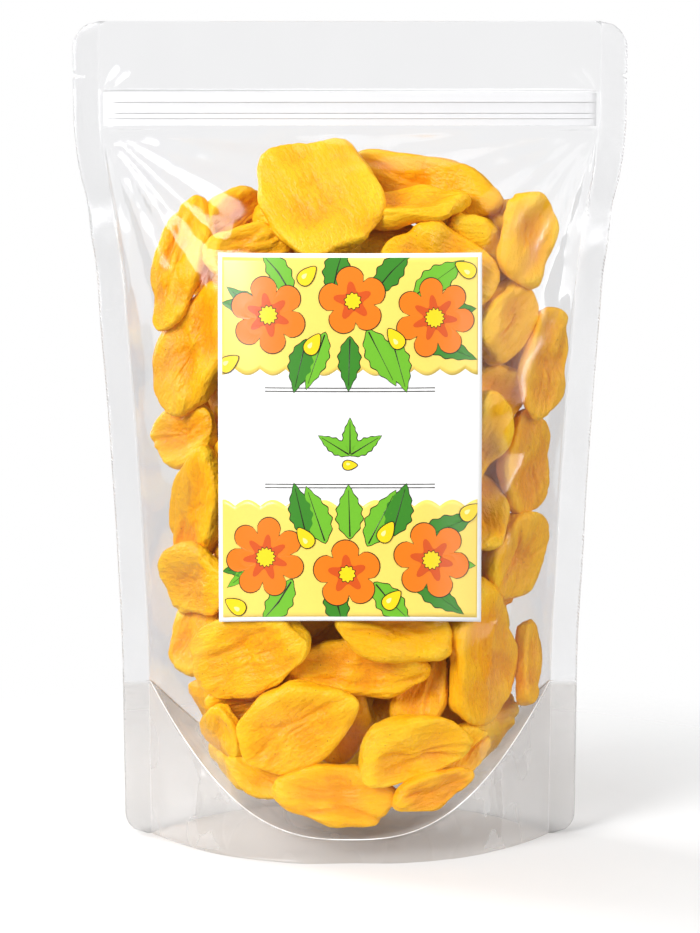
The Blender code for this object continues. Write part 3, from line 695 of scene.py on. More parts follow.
@dataclass
class Creases:
    """Folds of the film: fans below the zip's ends, dimples above them, pinches of the seals, soft waves."""

    seed: int
    fan_origin: tuple[float, float] = (89.5, 262.0)
    fan_slope: float = 0.05
    fan_reach: float = 58.0
    foot_gain: float = 4.0
    foot_reach: float = 9.0
    fan_turns: tuple = (-6, 1, 6, 12, 19, 26, 33, 42, 49, 56, 62, 68, 74, 80, 86, 93, 101)
    fan_heights: tuple = (0, 0.6, -0.2, 0.45, -0.3, 0.5, -0.15, 0.95, -0.5, 0.7, -0.35, 0.6, -0.45, 0.7, -0.4,
                          0.2, 0)
    right_shift: float = 2.5
    right_share: float = 0.9
    below_zip: tuple[float, float] = (256.5, 260.5)
    seal_ridge: float = 0.22
    deepest: float = -0.7
    dimple_foot: tuple[float, float] = (89.0, 275.0)
    dimple_turn: float = 0.82
    dimple_height: float = 1.5
    dimple_start: tuple[float, float] = (0.0, 5.0)
    dimple_end: tuple[float, float] = (9.0, 15.0)
    right_dimple: float = 0.8
    pinch_depth: float = 2.6
    calm: tuple[float, float] = (245.0, 262.0)

    # Each ripple has a height and a wave length, each line of the zip a place, a height and a reach
    ripples: tuple = ((0.3, 34.0), (0.07, 11.0))
    zip_lines: tuple = ((274.6, 0.25, 0.5), (271.4, 0.2, 0.4), (261.2, 0.25, 0.6))

    # Each pinch has a place, how much higher it is on the left, a reach and a share of the depth
    pinches: tuple = ((219.0, 4.0, 7.0, 1.0), (232.0, 3.0, 6.0, -0.7))

    # Each sway has a height, the rise over which its wave turns by one radian, and its lead on the left
    sways: tuple = ((0.9, 21.0, 1.7), (0.5, 9.0, 2.0))

    def fan(self, x: np.ndarray, z: np.ndarray, hand: int) -> np.ndarray:
        """Flat facets that meet in ridges running out from one end of the zip.

        The height is a broken line over the angle, times the distance from the end, fading further out.

        Args:
            x: Positions across.
            z: Heights.
            hand: -1 for the left end and 1 for the right end.

        Returns:
            Height of the folds, outward from the film.
        """
        across = self.fan_origin[0] - hand * x
        down = self.fan_origin[1] - z
        distance = np.hypot(across, down)
        turn = np.degrees(np.arctan2(down, across))
        shift = self.right_shift if hand > 0 else 0.0
        heights = np.array(self.fan_heights) * (self.right_share if hand > 0 else 1.0)
        broken = np.interp(turn, np.array(self.fan_turns) + shift, heights, left=0.0, right=0.0)
        foot = 1 + self.foot_gain * np.exp(-distance / self.foot_reach)
        fade = np.exp(-(distance / self.fan_reach) ** 2) * foot
        return broken * self.fan_slope * distance * fade

    def dimple(self, x: np.ndarray, z: np.ndarray, hand: int) -> np.ndarray:
        """A comet-shaped dent in the header, running up and inward from the zip's end."""
        across = self.dimple_foot[0] - hand * x
        up = z - self.dimple_foot[1]
        along = across * math.cos(self.dimple_turn) + up * math.sin(self.dimple_turn)
        aside = -across * math.sin(self.dimple_turn) + up * math.cos(self.dimple_turn)
        width = 0.5 + 0.16 * np.clip(along, 0, 30)
        body = np.exp(-(aside / width) ** 2) * ease(along, *self.dimple_start)
        return self.dimple_height * body * (1 - ease(along, *self.dimple_end))

    def lower_folds(self, rng: np.random.Generator, x: np.ndarray, z: np.ndarray,
                    size: np.ndarray) -> np.ndarray:
        """Folds of the double film below the weld: waves, a ridge that leans inward and sharp valleys.

        Args:
            rng: The panel's generator.
            x: Positions across.
            z: Heights.
            size: Distances of the sheet's lines from its middle.

        Returns:
            Heights in millimetres.
        """
        ridge = 1.2 * np.exp(-((size - 70.0 + 0.12 * z) / 3.0) ** 2)
        folds = 0.75 * waves(rng, x, 0.45 * z, 22.0, 7) + ridge
        return folds + 0.5 * np.abs(waves(rng, x, 0.7 * z, 30.0, 5))

    def outward(self, x: np.ndarray, z: np.ndarray, line: np.ndarray) -> np.ndarray:
        """Height of all folds that stand away from the pouch's middle.

        Args:
            x: Positions across.
            z: Heights.
            line: Lines of the flat sheet.

        Returns:
            Heights in millimetres.
        """
        rng = np.random.default_rng(self.seed)
        size = np.abs(line)
        below_zip = 1 - ease(z, *self.below_zip)
        inside = 1 - ease(size, SEAL_LINE - 4.0, SEAL_LINE)
        on_sheet = 1 - ease(size, SEAL_LINE + 2.0, SEAL_LINE + 7.0)
        total = (self.fan(x, z, -1) + self.fan(x, z, 1)) * on_sheet
        total = total + self.dimple(x, z, -1) + self.right_dimple * self.dimple(x, z, 1)
        for height, length in self.ripples:
            total = total + height * waves(rng, x, z, length, 7) * inside * below_zip
        for place, height, width in self.zip_lines:
            line_end = 1 - ease(size, SEAL_LINE - 2.0, SEAL_LINE - 0.5)
            total = total + height * np.exp(-((z - place) / width) ** 2) * line_end
        total = total + self.seal_ridge * np.exp(-((size - SEAL_LINE) / 0.7) ** 2)
        ply = 1 - ease(z - FORM.weld(x), -5.0, 0.0)
        total = total + ply * self.lower_folds(rng, x, z, size) * inside * ease(z, -2.0, 12.0)
        return np.maximum(total, self.deepest)

    def forward(self, z: np.ndarray, line: np.ndarray) -> np.ndarray:
        """How far both panels together leave the seam plane near the side seals.

        Sine waves sway each seal, and a bump forward under a smaller one backward pinches it.

        Args:
            z: Heights.
            line: Lines of the flat sheet.

        Returns:
            The shift along y, the same for the front and the back.
        """
        out = ease(np.abs(line), SEAL_LINE - 8.0, EDGE_LINE)
        left = np.where(line < 0, 1.0, 0.0)
        pinch = sum(share * np.exp(-((z - place - rise * left) / reach) ** 2)
                    for place, rise, reach, share in self.pinches)
        sway = sum(height * np.sin(z / length + lead * left) for height, length, lead in self.sways)
        calm = 1 - ease(z, *self.calm)
        return out * (sway * calm * ease(z, 6.0, 40.0) - self.pinch_depth * pinch)


@dataclass
class FilmPanel:
    """One panel of clear film, with its seals, header, zip ribs and creases."""

    side: Side
    node: str
    seed: int
    thickness: float = 0.16
    seal_reach: float = 0.24
    header_reach: float = 0.34
    label_press: float = 0.12
    blend: float = 3.0
    zip_foot: tuple[float, float] = (259.8, 262.0)
    zip_head: tuple[float, float] = (274.4, 276.2)
    zip_end: tuple[float, float] = (86.0, 91.0)

    # Each part of the grid has a start, an end and a number of points
    line_parts: tuple = ((0, 60, 26), (60, 87, 18), (87, 92, 12), (92, 100, 6))
    row_parts: tuple = ((0, 8, 6), (8, 60, 28), (60, 200, 56), (200, 261, 62), (261, 277, 46),
                        (277, 279.4, 4), (279.4, 281.8, 8), (281.8, 290, 8), (290, 300, 10))

    def under_label(self, x: np.ndarray, z: np.ndarray) -> np.ndarray:
        """Tell where the label lies on the panel: 1 under it, fading to 0 just outside."""
        aside = np.abs(x) - FORM.label_half_width
        above = np.maximum(z - FORM.label_high, FORM.label_low - FORM.label_corner_drop - z)
        return 1 - ease(np.maximum(aside, above), 0.5, 5.5)

    def lines(self) -> np.ndarray:
        """Lines of the flat sheet from edge to edge, closest together at the seals' inner edges."""
        half = np.concatenate([np.linspace(low, high, count)[1:] for low, high, count in self.line_parts])
        return np.concatenate((-half[::-1], [0.0], half))

    def rows(self) -> np.ndarray:
        """Heights from the bottom edge to the top, closest together at the zip and the tear notches."""
        parts = [np.linspace(low, high, count)[1:] for low, high, count in self.row_parts]
        return np.concatenate([[0.0]] + parts)

    def build(self, film: bpy.types.Material, seal_film: bpy.types.Material) -> bpy.types.Object:
        """Work out the panel: the pouch's bulge, held apart by the zip, with the creases on top.

        Where the bulge meets the flat sheet, the two heights are joined by the log of a sum of powers.

        Args:
            film: The finish of the bag's film.
            seal_film: The finish of the side seals.

        Returns:
            The piece.
        """
        line, z = np.meshgrid(self.lines(), self.rows())
        x = FORM.sheet_x(line, z)
        lean = FORM.slant(x, z)
        bag = FORM.bulge(x, z) + FORM.wall * lean
        size = np.abs(line)
        off_seal = 1 - ease(size, SEAL_LINE - 2.0, SEAL_LINE + 2.0)
        rest = self.seal_reach + (self.header_reach - self.seal_reach) * off_seal
        in_zip = ease(z, *self.zip_foot) * (1 - ease(z, *self.zip_head)) * (1 - ease(size, *self.zip_end))
        rest = rest + (FORM.zip_reach - rest) * in_zip
        swell = np.where(FORM.bulge(x, z) > 0.02, bag, 0.0)
        reach = np.exp(np.clip(swell, 0, 60) * self.blend) + np.exp(rest * self.blend) - 1.0
        reach = np.log(reach) / self.blend
        folds = Creases(self.seed)
        outer_y = reach + folds.outward(x, z, line)
        outer_y = np.maximum(outer_y, self.seal_reach)
        if self.side is Side.FRONT:
            under = self.under_label(x, z)
            outer_y = outer_y * (1 - under) + np.minimum(outer_y, bag - self.label_press) * under
        shift = folds.forward(z, line)
        sign = self.side.value
        outer = np.stack((x, sign * outer_y + shift, z), axis=-1)
        inner_y = outer_y - self.thickness * np.where(size < SEAL_LINE, lean, 1.0)
        inner = np.stack((x, sign * inner_y + shift, z), axis=-1)
        piece = add_sheet(f"film_{self.node}", outer, inner, sign > 0)
        ply = 1 - ease(z - FORM.weld(x), -0.8, 0.2)
        flat = np.stack((line, z, np.zeros_like(z)), axis=-1).reshape(-1, 3)
        add_value(piece, "sheet", np.tile(flat, (2, 1)))
        add_value(piece, "ply", np.tile(ply.ravel(), 2))
        piece.data.materials.append(film)
        piece.data.materials.append(seal_film)
        where = np.abs(line[:-1, :-1] + line[1:, 1:]) / 2 > SEAL_LINE
        kinds = np.zeros(len(piece.data.polygons), np.int32)
        kinds[:2 * where.size] = np.tile(where.ravel(), 2)
        piece.data.polygons.foreach_set("material_index", kinds)
        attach(piece, BODY)
        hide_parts(self.node)
        return piece


@dataclass
class Gusset:
    """The bottom gusset's raised floor and the bright weld lines along both panels."""

    node: str = "bottom_gusset"
    thickness: float = 0.16
    seed: int = 8
    bead: float = 0.2
    bead_depth: float = 0.10
    overhang: float = 2.0

    def floor(self, film: bpy.types.Material) -> bpy.types.Object:
        """Work out the floor between the two weld lines, with soft folds that run front to back.

        Args:
            film: The finish of the gusset's film.

        Returns:
            The piece.
        """
        rng = np.random.default_rng(self.seed)
        half = FORM.weld_half_span + 1.0
        x, share = np.meshgrid(np.linspace(-half, half, 120), np.linspace(-1, 1, 28), indexing="ij")
        weld = FORM.weld(x)
        y = share * np.maximum(FORM.bulge(x, weld) + 0.25 * FORM.slant(x, weld), 0.12)
        free = (1 - share ** 2) * ease(half - np.abs(x), 2.0, 16.0)
        folds = 0.5 * waves(rng, x, 0.4 * y, 16.0, 6) + 0.3 * waves(rng, x, y, 9.0, 5)
        z = FORM.gusset(x, y) + free * folds
        outer = np.stack((x, y, z), axis=-1)
        inner = outer - np.array((0, 0, self.thickness))
        piece = add_sheet("gusset_floor", outer, inner, False)
        add_value(piece, "sheet", np.tile(outer.reshape(-1, 3), (2, 1)))
        add_value(piece, "ply", np.ones(2 * x.size))
        piece.data.materials.append(film)
        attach(piece, BODY)
        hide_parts(self.node)
        return piece

    def weld_bead(self, side: Side, plastic: bpy.types.Material) -> bpy.types.Object:
        """Work out the slim bead along one weld line: a small ellipse carried along the curve.

        Args:
            side: The panel that the bead lies against.
            plastic: Its finish.

        Returns:
            The piece.
        """
        half = FORM.weld_half_span + self.overhang
        x = np.linspace(-half, half, 161)
        z = FORM.weld(x)
        y = side.value * (FORM.bulge(x, z) + 0.30 * FORM.slant(x, z))
        path = np.stack((x, y, z), axis=-1)
        along = np.gradient(path, axis=0)
        along /= np.linalg.norm(along, axis=1)[:, None]
        out = np.tile(np.array((0.0, side.value, 0.0)), (len(x), 1))
        up = np.cross(along, out)
        up /= np.linalg.norm(up, axis=1)[:, None]
        turn = np.linspace(0, 2 * math.pi, 10, endpoint=False)[None, :, None]
        taper = ease(1 - np.abs(x) / half, 0.0, 0.03)[:, None, None]
        ring = np.cos(turn) * self.bead_depth * out[:, None] + np.sin(turn) * self.bead * up[:, None]
        tube = path[:, None] + ring * (0.15 + 0.85 * taper)
        vertices = np.concatenate((tube.reshape(-1, 3), path[:1], path[-1:]))
        piece = add_mesh(f"weld_line_{side.name.lower()}", vertices, ball_faces(len(x), turn.size))
        piece.data.materials.append(plastic)
        set_outward(piece)
        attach(piece, BODY)
        return piece


def set_outward(piece: bpy.types.Object) -> None:
    """Turn a closed mesh's faces outward: where its signed volume is negative, all faces are flipped."""
    a, b, c = triangles(piece.data).transpose(1, 0, 2)
    if np.einsum("ij,ij->i", a, np.cross(b, c)).sum() < 0:
        piece.data.flip_normals()


# Zip


@dataclass
class ZipStrip:
    """One ribbed strip of the zip, a profile carried across the pouch."""

    side: Side
    node: str
    half_length: float = 89.0
    shelf: float = 1.5
    rib: float = 0.5
    back: float = 1.1
    lock_height: float = 269.5
    steps: tuple = (262.6, 265.2, 267.1, 271.1, 274.5)

    def ribs(self, z: np.ndarray) -> np.ndarray:
        """Work out the outer face: between two steps it leans out toward the lower one, like roof slats."""
        steps = np.array(self.steps)
        slat = np.clip(np.searchsorted(steps, z, side="right") - 1, 0, len(steps) - 2)
        share = (steps[slat + 1] - z) / (steps[slat + 1] - steps[slat])
        return self.shelf + self.rib * share

    def build(self, plastic: bpy.types.Material) -> bpy.types.Object:
        """Work out the strip: a band with slanting ribs outside and its bead or rails inside.

        Args:
            plastic: Its finish.

        Returns:
            The piece.
        """
        z = np.linspace(self.steps[0], self.steps[-1], 121)
        off_lock = np.abs(z - self.lock_height)
        if self.side is Side.FRONT:
            lock = 1.7 * (1 - ease(off_lock, 0.55, 0.85))
        else:
            lock = 1.9 * (1 - ease(np.abs(off_lock - 1.85), 0.5, 0.8))
        x = np.linspace(-self.half_length, self.half_length, 41)
        pinch = ease(self.half_length - np.abs(x), 0.0, 5.0) * 0.85 + 0.15
        across, up = np.meshgrid(x, z)
        outer, inner = (np.stack((across, self.side.value * reach[:, None] * pinch, up), axis=-1)
                        for reach in (self.ribs(z), self.back - lock))
        piece = add_sheet(self.node + "_ribbed", outer, inner, self.side is Side.BACK)
        piece.data.materials.append(plastic)
        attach(piece, BODY)
        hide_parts(self.node)
        return piece


# Label


@dataclass
class Label:
    """The paper label on the front panel."""

    half_width: float = FORM.label_half_width
    low: float = FORM.label_low
    high: float = FORM.label_high
    corner_drop: float = FORM.label_corner_drop
    sheet: float = 0.18
    lift: float = 0.62

    def hang(self, x: np.ndarray, z: np.ndarray) -> np.ndarray:
        """Height of a point of the flat label once it is stuck on, its lower corners a little lower."""
        share = np.clip((self.high - z) / (self.high - self.low), 0, 1)
        return z - self.corner_drop * share ** 2 * (np.abs(x) / self.half_width) ** 2.7

    def face(self, x: np.ndarray, z: np.ndarray, above: float = 0.0) -> np.ndarray:
        """Distance of the paper's front face from the seam plane, and a height above it."""
        return FORM.bulge(x, z) + (self.lift + self.sheet + above) * FORM.slant(x, z)

    def build(self, paper: bpy.types.Material) -> bpy.types.Object:
        """Work out the sheet of paper, which follows the panel.

        Args:
            paper: Its finish.

        Returns:
            The piece.
        """
        across = np.linspace(-self.half_width, self.half_width, 65)
        x, z = np.meshgrid(across, np.linspace(self.low, self.high, 90))
        z = self.hang(x, z)
        outer = np.stack((x, -self.face(x, z), z), axis=-1)
        inner = np.stack((x, -self.face(x, z, -self.sheet), z), axis=-1)
        piece = add_sheet("label_paper_sheet", outer, inner, False)
        piece.data.materials.append(paper)
        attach(piece, BODY)
        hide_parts("label")
        return piece


def turned(shape: np.ndarray, turn: float) -> np.ndarray:
    """Turn a flat shape about its origin by an angle in radians."""
    return shape @ np.array(((math.cos(turn), math.sin(turn)), (-math.sin(turn), math.cos(turn))))


@dataclass
class Patch:
    """One printed shape: an outline round a middle point, in millimetres from the label's middle."""

    ink: Ink
    middle: tuple[float, float]
    outline: np.ndarray
    level: float


@dataclass
class LabelPrint:
    """A generic print of blossoms, fronds and drops in a band above and a band below a bare middle."""

    label: Label
    seed: int = 5
    line_width: float = 0.34
    ink_sheet: float = 0.03
    field_edge: float = 24.0
    scallop: float = 9.1
    margin: float = 1.5
    rule_heights: tuple = (17.5, 16.3, -16.3, -17.5)
    rule_places: tuple = (-24.0, -12.0, 0.0, 12.0, 24.0)

    # Each frond has a place, a height, a direction and a length
    fronds: tuple = ((-37, 30, 2.5, 20), (-33, 56, 2.1, 15), (-14, 30, -1.9, 15), (-10, 57, 1.4, 13),
                     (10, 32, -1.1, 16), (14, 58, 0.9, 14), (37, 29, -0.4, 18), (36, 55, 0.6, 16),
                     (-40, 44, 3.0, 15), (40, 42, 0.1, 14), (0, 27, -1.6, 13), (24, 25, -1.3, 13),
                     (-25, 25, -1.8, 13))

    # Each blossom has a place, a height, a radius and its petals, each drop a place, a height and a turn
    blossoms: tuple = ((-29, 43, 13.5, 6), (1, 48, 12.0, 5), (30, 42, 14.0, 7))
    drops: tuple = ((-15, 57, 0.8), (16, 35, 2.2), (-13, 33, 1.0), (41, 59, 2.6), (-43, 26, 0.6))
    patches: list[Patch] = field(default_factory=list)

    @property
    def limit(self) -> np.ndarray:
        """Half width and half height of the printed part of the label."""
        return np.array((self.label.half_width, (self.label.high - self.label.low) / 2)) - self.margin

    @property
    def centre(self) -> float:
        """Height of the label's middle."""
        return (self.label.low + self.label.high) / 2

    def add(self, ink: Ink, middle: tuple[float, float], outline: np.ndarray, level: float,
            lined: bool = True) -> None:
        """Keep a shape, with a dark line round it where asked.

        Args:
            ink: The shape's colour.
            middle: A point that sees the whole outline.
            outline: n by 2 points round the shape.
            level: Height above the paper.
            lined: Whether a slightly larger dark shape lies under it.
        """
        if lined:
            away = outline - np.array(middle)
            length = np.linalg.norm(away, axis=1)[:, None]
            wider = outline + away / length * self.line_width
            self.patches.append(Patch(Ink.LINE, middle, wider, level - self.ink_sheet))
        self.patches.append(Patch(ink, middle, outline, level))

    def blossom(self, middle: tuple[float, float], size: float, petals: int, turn: float,
                level: float) -> None:
        """Draw a blossom: round petals, a deeper star and a yellow eye.

        Args:
            middle: Where it stands.
            size: Its radius.
            petals: Number of petals.
            turn: How far it is turned.
            level: Height above the paper.
        """
        around = np.linspace(0, 2 * math.pi, 12 * petals, endpoint=False)
        bell = np.abs(np.cos(petals * around / 2))
        ring = size * (0.62 + 0.38 * bell ** 0.55)
        star = size * (0.30 + 0.28 * bell ** 3)
        eye = 0.22 * size * (1 + 0.12 * np.cos(2 * petals * around))
        outline = np.stack((np.cos(around + turn), np.sin(around + turn)), -1)
        layers = ((Ink.ORANGE, ring, 0.0), (Ink.DEEP_ORANGE, star, 0.07), (Ink.YELLOW, eye, 0.12))
        for ink, reach, rise in layers:
            shape = np.array(middle) + outline * reach[:, None]
            self.add(ink, middle, shape, level + rise, lined=ink is not Ink.DEEP_ORANGE)

    def frond(self, foot: tuple[float, float], length: float, width: float, turn: float, level: float,
              ink: Ink) -> None:
        """Draw a leaf with a scalloped edge and its midrib.

        Args:
            foot: Where it starts.
            length: Its length.
            width: Its width.
            turn: Its direction.
            level: Height above the paper.
            ink: Its colour.
        """
        share = np.linspace(0, 1, 30)
        half = 0.5 * width * np.sin(math.pi * share ** 0.8) * (1 + 0.10 * np.cos(34 * share))
        upper = np.stack((share * length, half), -1)
        lower = np.stack((share[::-1] * length, -half[::-1]), -1)[1:-1]
        shape = np.concatenate((upper, lower))
        middle = np.array(foot) + turned(np.array((0.45 * length, 0.0)), turn)
        self.add(ink, tuple(middle), np.array(foot) + turned(shape, turn), level)
        rib = np.array(((0.04, 0.16), (0.9, 0.05), (0.9, -0.05), (0.04, -0.16))) * np.array((length, 1.6))
        self.add(Ink.LINE, tuple(middle), np.array(foot) + turned(rib, turn), level + 0.05, False)

    def drop(self, middle: tuple[float, float], length: float, turn: float, level: float, ink: Ink) -> None:
        """Draw a plump drop with a pale gleam."""
        around = np.linspace(0, 2 * math.pi, 24, endpoint=False)
        plump = 0.30 * length * np.sin(around) * (1 - 0.45 * np.cos(around))
        shape = turned(np.stack((0.5 * length * np.cos(around), plump), -1), turn)
        self.add(ink, middle, np.array(middle) + shape, level)
        gleam = turned(np.array((-0.12 * length, 0.08 * length)), turn) + np.array(middle)
        self.add(Ink.PALE, tuple(gleam), gleam + shape * 0.28, level + 0.05, False)

    def bar(self, middle: tuple[float, float], width: float, height: float, ink: Ink) -> None:
        """Draw a plain bar."""
        corners = np.array(((-1, -1), (0, -1), (1, -1), (1, 1), (0, 1), (-1, 1)), float)
        outline = np.array(middle) + corners * np.array((width, height)) / 2
        self.add(ink, middle, outline, 0.05, False)

    def field(self, hand: int, material: bpy.types.Material) -> bpy.types.Object:
        """Make the pale field behind one band, its inner edge a row of scallops.

        Args:
            hand: 1 for the upper band and -1 for the lower one.
            material: The ink.

        Returns:
            The piece.
        """
        half, outer_edge = self.limit
        x, share = np.meshgrid(np.linspace(-half, half, 121), np.linspace(0, 1, 24))
        inner_edge = self.field_edge - 2.2 * np.abs(np.cos(math.pi * x / self.scallop))
        height = hand * (inner_edge + (outer_edge - inner_edge) * share)
        z = self.label.hang(x, height + self.centre)
        front = np.stack((x, -self.label.face(x, z, 0.035), z), axis=-1)
        behind = np.stack((x, -self.label.face(x, z, 0.005), z), axis=-1)
        piece = add_sheet(f"label_field_{'upper' if hand > 0 else 'lower'}", front, behind, False)
        set_outward(piece)
        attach(piece, BODY)
        piece.data.materials.append(material)
        return piece

    def design(self) -> None:
        """Lay out the print: each band has fronds behind, blossoms before them and drops between."""
        rng = np.random.default_rng(self.seed)
        for hand in (1, -1):
            for place, height, turn, length in self.fronds:
                foot = (place * 0.62, hand * (44 + (height - 44) * 0.5))
                ink = Ink.GREEN if rng.random() < 0.6 else Ink.DARK_GREEN
                width = 7.5 + rng.uniform(0, 2)
                self.frond(foot, length + 6, width, hand * turn, 0.10 + rng.uniform(0, 0.02), ink)
            for place, height, size, petals in self.blossoms:
                self.blossom((place * hand, hand * height), size, petals, rng.uniform(0, 1), 0.22)
            for place, height, turn in self.drops:
                self.drop((place * hand, hand * height), 8.0, turn, 0.36, Ink.YELLOW)
        for height in self.rule_heights:
            for place in self.rule_places:
                self.bar((place, height), 12.2, 0.35, Ink.LINE)
        for turn in (0.55, math.pi / 2, math.pi - 0.55):
            self.frond((0.0, -6.0), 13.0, 5.0, turn, 0.10, Ink.GREEN)
        self.drop((0.0, -9.5), 5.0, 0.0, 0.20, Ink.YELLOW)

    def build(self) -> list[bpy.types.Object]:
        """Turn the shapes of each ink into one piece of thin plates that follow the label.

        Each shape is rings of its outline drawn in toward its middle, at the front and at the back.

        Returns:
            One piece for each ink.
        """
        self.design()
        pale = PaperFinish("ink_field", linear((251, 219, 104)), 0.4, 0.34).make()
        pieces = [self.field(1, pale), self.field(-1, pale)]
        for ink in Ink:
            vertices, caps, quads, first = [], [], [], 0
            for patch in (shape for shape in self.patches if shape.ink is ink):
                middle = np.array(patch.middle)
                outline = np.clip(patch.outline, -self.limit, self.limit)
                count = len(outline)
                if np.cross(outline - middle, np.roll(outline, -1, 0) - middle).sum() > 0:
                    outline = outline[::-1]
                front = np.array((0.34, 0.67, 1.0))[:, None, None] * (outline - middle) + middle
                rings = np.concatenate((front, front[::-1]))
                x = np.concatenate((rings[..., 0].ravel(), [middle[0], middle[0]]))
                z = np.concatenate((rings[..., 1].ravel(), [middle[1], middle[1]])) + self.centre
                z = self.label.hang(x, z)
                above = np.repeat((patch.level, patch.level - self.ink_sheet), 3 * count)
                above = np.concatenate((above, [patch.level, patch.level - self.ink_sheet]))
                vertices.append(np.stack((x, -self.label.face(x, z, above), z), -1))
                cap, quad = ball_faces(6, count)
                caps.append(cap + first)
                quads.append(quad + first)
                first += len(x)
            piece = add_mesh(f"label_print_{ink.name.lower()}", np.concatenate(vertices),
                             [np.concatenate(caps), np.concatenate(quads)], smooth=False)
            set_outward(piece)
            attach(piece, BODY)
            finish = PaperFinish(f"ink_{ink.name.lower()}", linear(ink.value), 0.4, 0.34)
            piece.data.materials.append(finish.make())
            pieces.append(piece)
        return pieces


# Fruit


def solid_triangles(node: str) -> np.ndarray:
    """Read a solid's triangles in millimetres.

    Args:
        node: The node's name.

    Returns:
        An array of n by 3 by 3 corner positions.
    """
    return triangles(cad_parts[node].data) / MM


@dataclass
class DriedLobe:
    """One dried piece: its solid's form, smoothed, with folds, hollows and wrinkles raised on it."""

    node: str
    seed: int
    rings: int = 56
    around: int = 96
    smoothing: int = 28
    hollow: tuple[float, float] = (1.2, 2.9)
    rim: tuple[float, float] = (0.7, 1.7)
    rim_place: tuple[float, float] = (0.74, 0.84)
    fold: tuple[float, float] = (0.4, 1.2)
    fold_width: tuple[float, float] = (0.05, 0.13)
    lobes: tuple[float, float] = (0.015, 0.05)
    lift: float = 4.0
    lift_reach: float = 22.0
    film_room: float = 0.45
    fuller: float = 0.04
    squareness: float = 2.9

    def form(self) -> tuple[np.ndarray, np.ndarray, np.ndarray, np.ndarray, np.ndarray]:
        """Read the solid: its middle, its axes and how far it reaches beyond its ellipsoid.

        A direction d seen from the middle crosses the triangle abc where d is a sum of a, b and c with
        no negative share, at a distance of 1 over the sum of the shares.

        Returns:
            The middle, the axes, the half sizes, the ellipsoid's grid and the reach on that grid.
        """
        corners = solid_triangles(self.node)
        points = np.unique(np.round(corners.reshape(-1, 3), 4), axis=0)
        middle = points.mean(axis=0)
        _, _, axes = np.linalg.svd(points - middle, full_matrices=False)
        if np.linalg.det(axes) < 0:
            axes[2] = -axes[2]
        local = (points - middle) @ axes.T
        half = (local.max(axis=0) - local.min(axis=0)) / 2
        polar = ((np.arange(self.rings) + 0.5) * math.pi / self.rings)[:, None]
        turn = (np.arange(self.around) * 2 * math.pi / self.around)[None, :]
        ball = np.stack(np.broadcast_arrays(half[0] * np.sin(polar) * np.cos(turn),
                                            half[1] * np.sin(polar) * np.sin(turn),
                                            half[2] * np.cos(polar) * np.ones_like(turn)), axis=-1)
        frames = ((corners - middle) @ axes.T).transpose(0, 2, 1)
        frames = frames[np.abs(np.linalg.det(frames)) > 1e-6]
        shares = np.einsum("tij,rnj->rnti", np.linalg.inv(frames), ball)
        best = shares.min(axis=-1).argmax(axis=-1)
        total = np.take_along_axis(shares.sum(axis=-1), best[..., None], axis=-1)[..., 0]
        reach = 1.0 / np.clip(total, 0.5, 2.5)
        return middle, axes, half, ball, reach

    def smoothed(self, reach: np.ndarray) -> np.ndarray:
        """Even out the facets: each pass averages a value with its neighbours, across the poles too.

        Args:
            reach: Values on the grid of rings.

        Returns:
            The smoothed values.
        """
        for _ in range(self.smoothing):
            across = np.roll(reach, self.around // 2, axis=1)
            padded = np.concatenate((across[:1], reach, across[-1:]))
            reach = (padded[:-2] + 2 * reach + padded[2:]) / 4
            reach = (np.roll(reach, 1, axis=1) + 2 * reach + np.roll(reach, -1, axis=1)) / 4
        return reach

    def relief(self, ball: np.ndarray, half: np.ndarray, rng: np.random.Generator) -> np.ndarray:
        """Height of the piece's own detail over its smooth form.

        A hollow sinks each flat side inside a raised rim. Long folds are narrow valleys along wavy lines.
        Lumps, wrinkles and cracks are sums of waves, and the wrinkles run mostly along the piece.

        Args:
            ball: The ellipsoid's grid.
            half: The half sizes.
            rng: The piece's generator.

        Returns:
            Heights in millimetres.
        """
        along, across, flat = np.moveaxis(ball / half, -1, 0)
        length, width, height = np.moveaxis(ball, -1, 0)
        out = np.hypot(along, across)
        centre = np.clip(1 - out ** 2, 0, 1)
        around = np.arctan2(across, along)
        total = np.zeros(out.shape)
        for face in (1, -1):
            total = total - rng.uniform(*self.hollow) * centre * ease(face * flat, 0.0, 0.5)
        for face in (1, -1):
            rim = np.exp(-((out - rng.uniform(*self.rim_place)) / 0.13) ** 2) * ease(face * flat, 0.0, 0.3)
            part = 0.65 + 0.35 * np.sin(around + rng.uniform(0, 6.3))
            total = total + rng.uniform(*self.rim) * rim * part
        for _ in range(rng.integers(2, 5)):
            place = rng.uniform(-0.7, 0.7)
            bend = rng.uniform(-0.3, 0.3)
            line = place + bend * along ** 2 + 0.08 * np.sin(5 * along + rng.uniform(0, 6))
            wide = rng.uniform(*self.fold_width)
            start, end = np.sort(rng.uniform(-1.1, 1.1, 2))
            span = ease(along, start - 0.25, start) * (1 - ease(along, end, end + 0.25))
            facing = ease(flat * rng.choice((-1, 1)), -0.1, 0.3)
            valley = np.exp(-((across - line) / wide) ** 2)
            shoulder = np.exp(-((across - line - 2.0 * wide) / (1.6 * wide)) ** 2)
            total = total + rng.uniform(*self.fold) * span * facing * (0.5 * shoulder - valley)
        total = total + 0.55 * waves(rng, length, width + 0.5 * height, 17.0, 6)
        wrinkles = np.abs(waves(rng, 0.45 * length, width + 0.7 * height, 9.0, 6))
        total = total + 0.42 * np.minimum(wrinkles, 1.0)
        cracks = np.abs(waves(rng, 0.7 * length, width - 0.6 * height, 5.5, 6))
        return total + 0.2 * np.minimum(cracks, 0.8) + 0.06 * waves(rng, 0.7 * length, width + height, 2.6, 6)

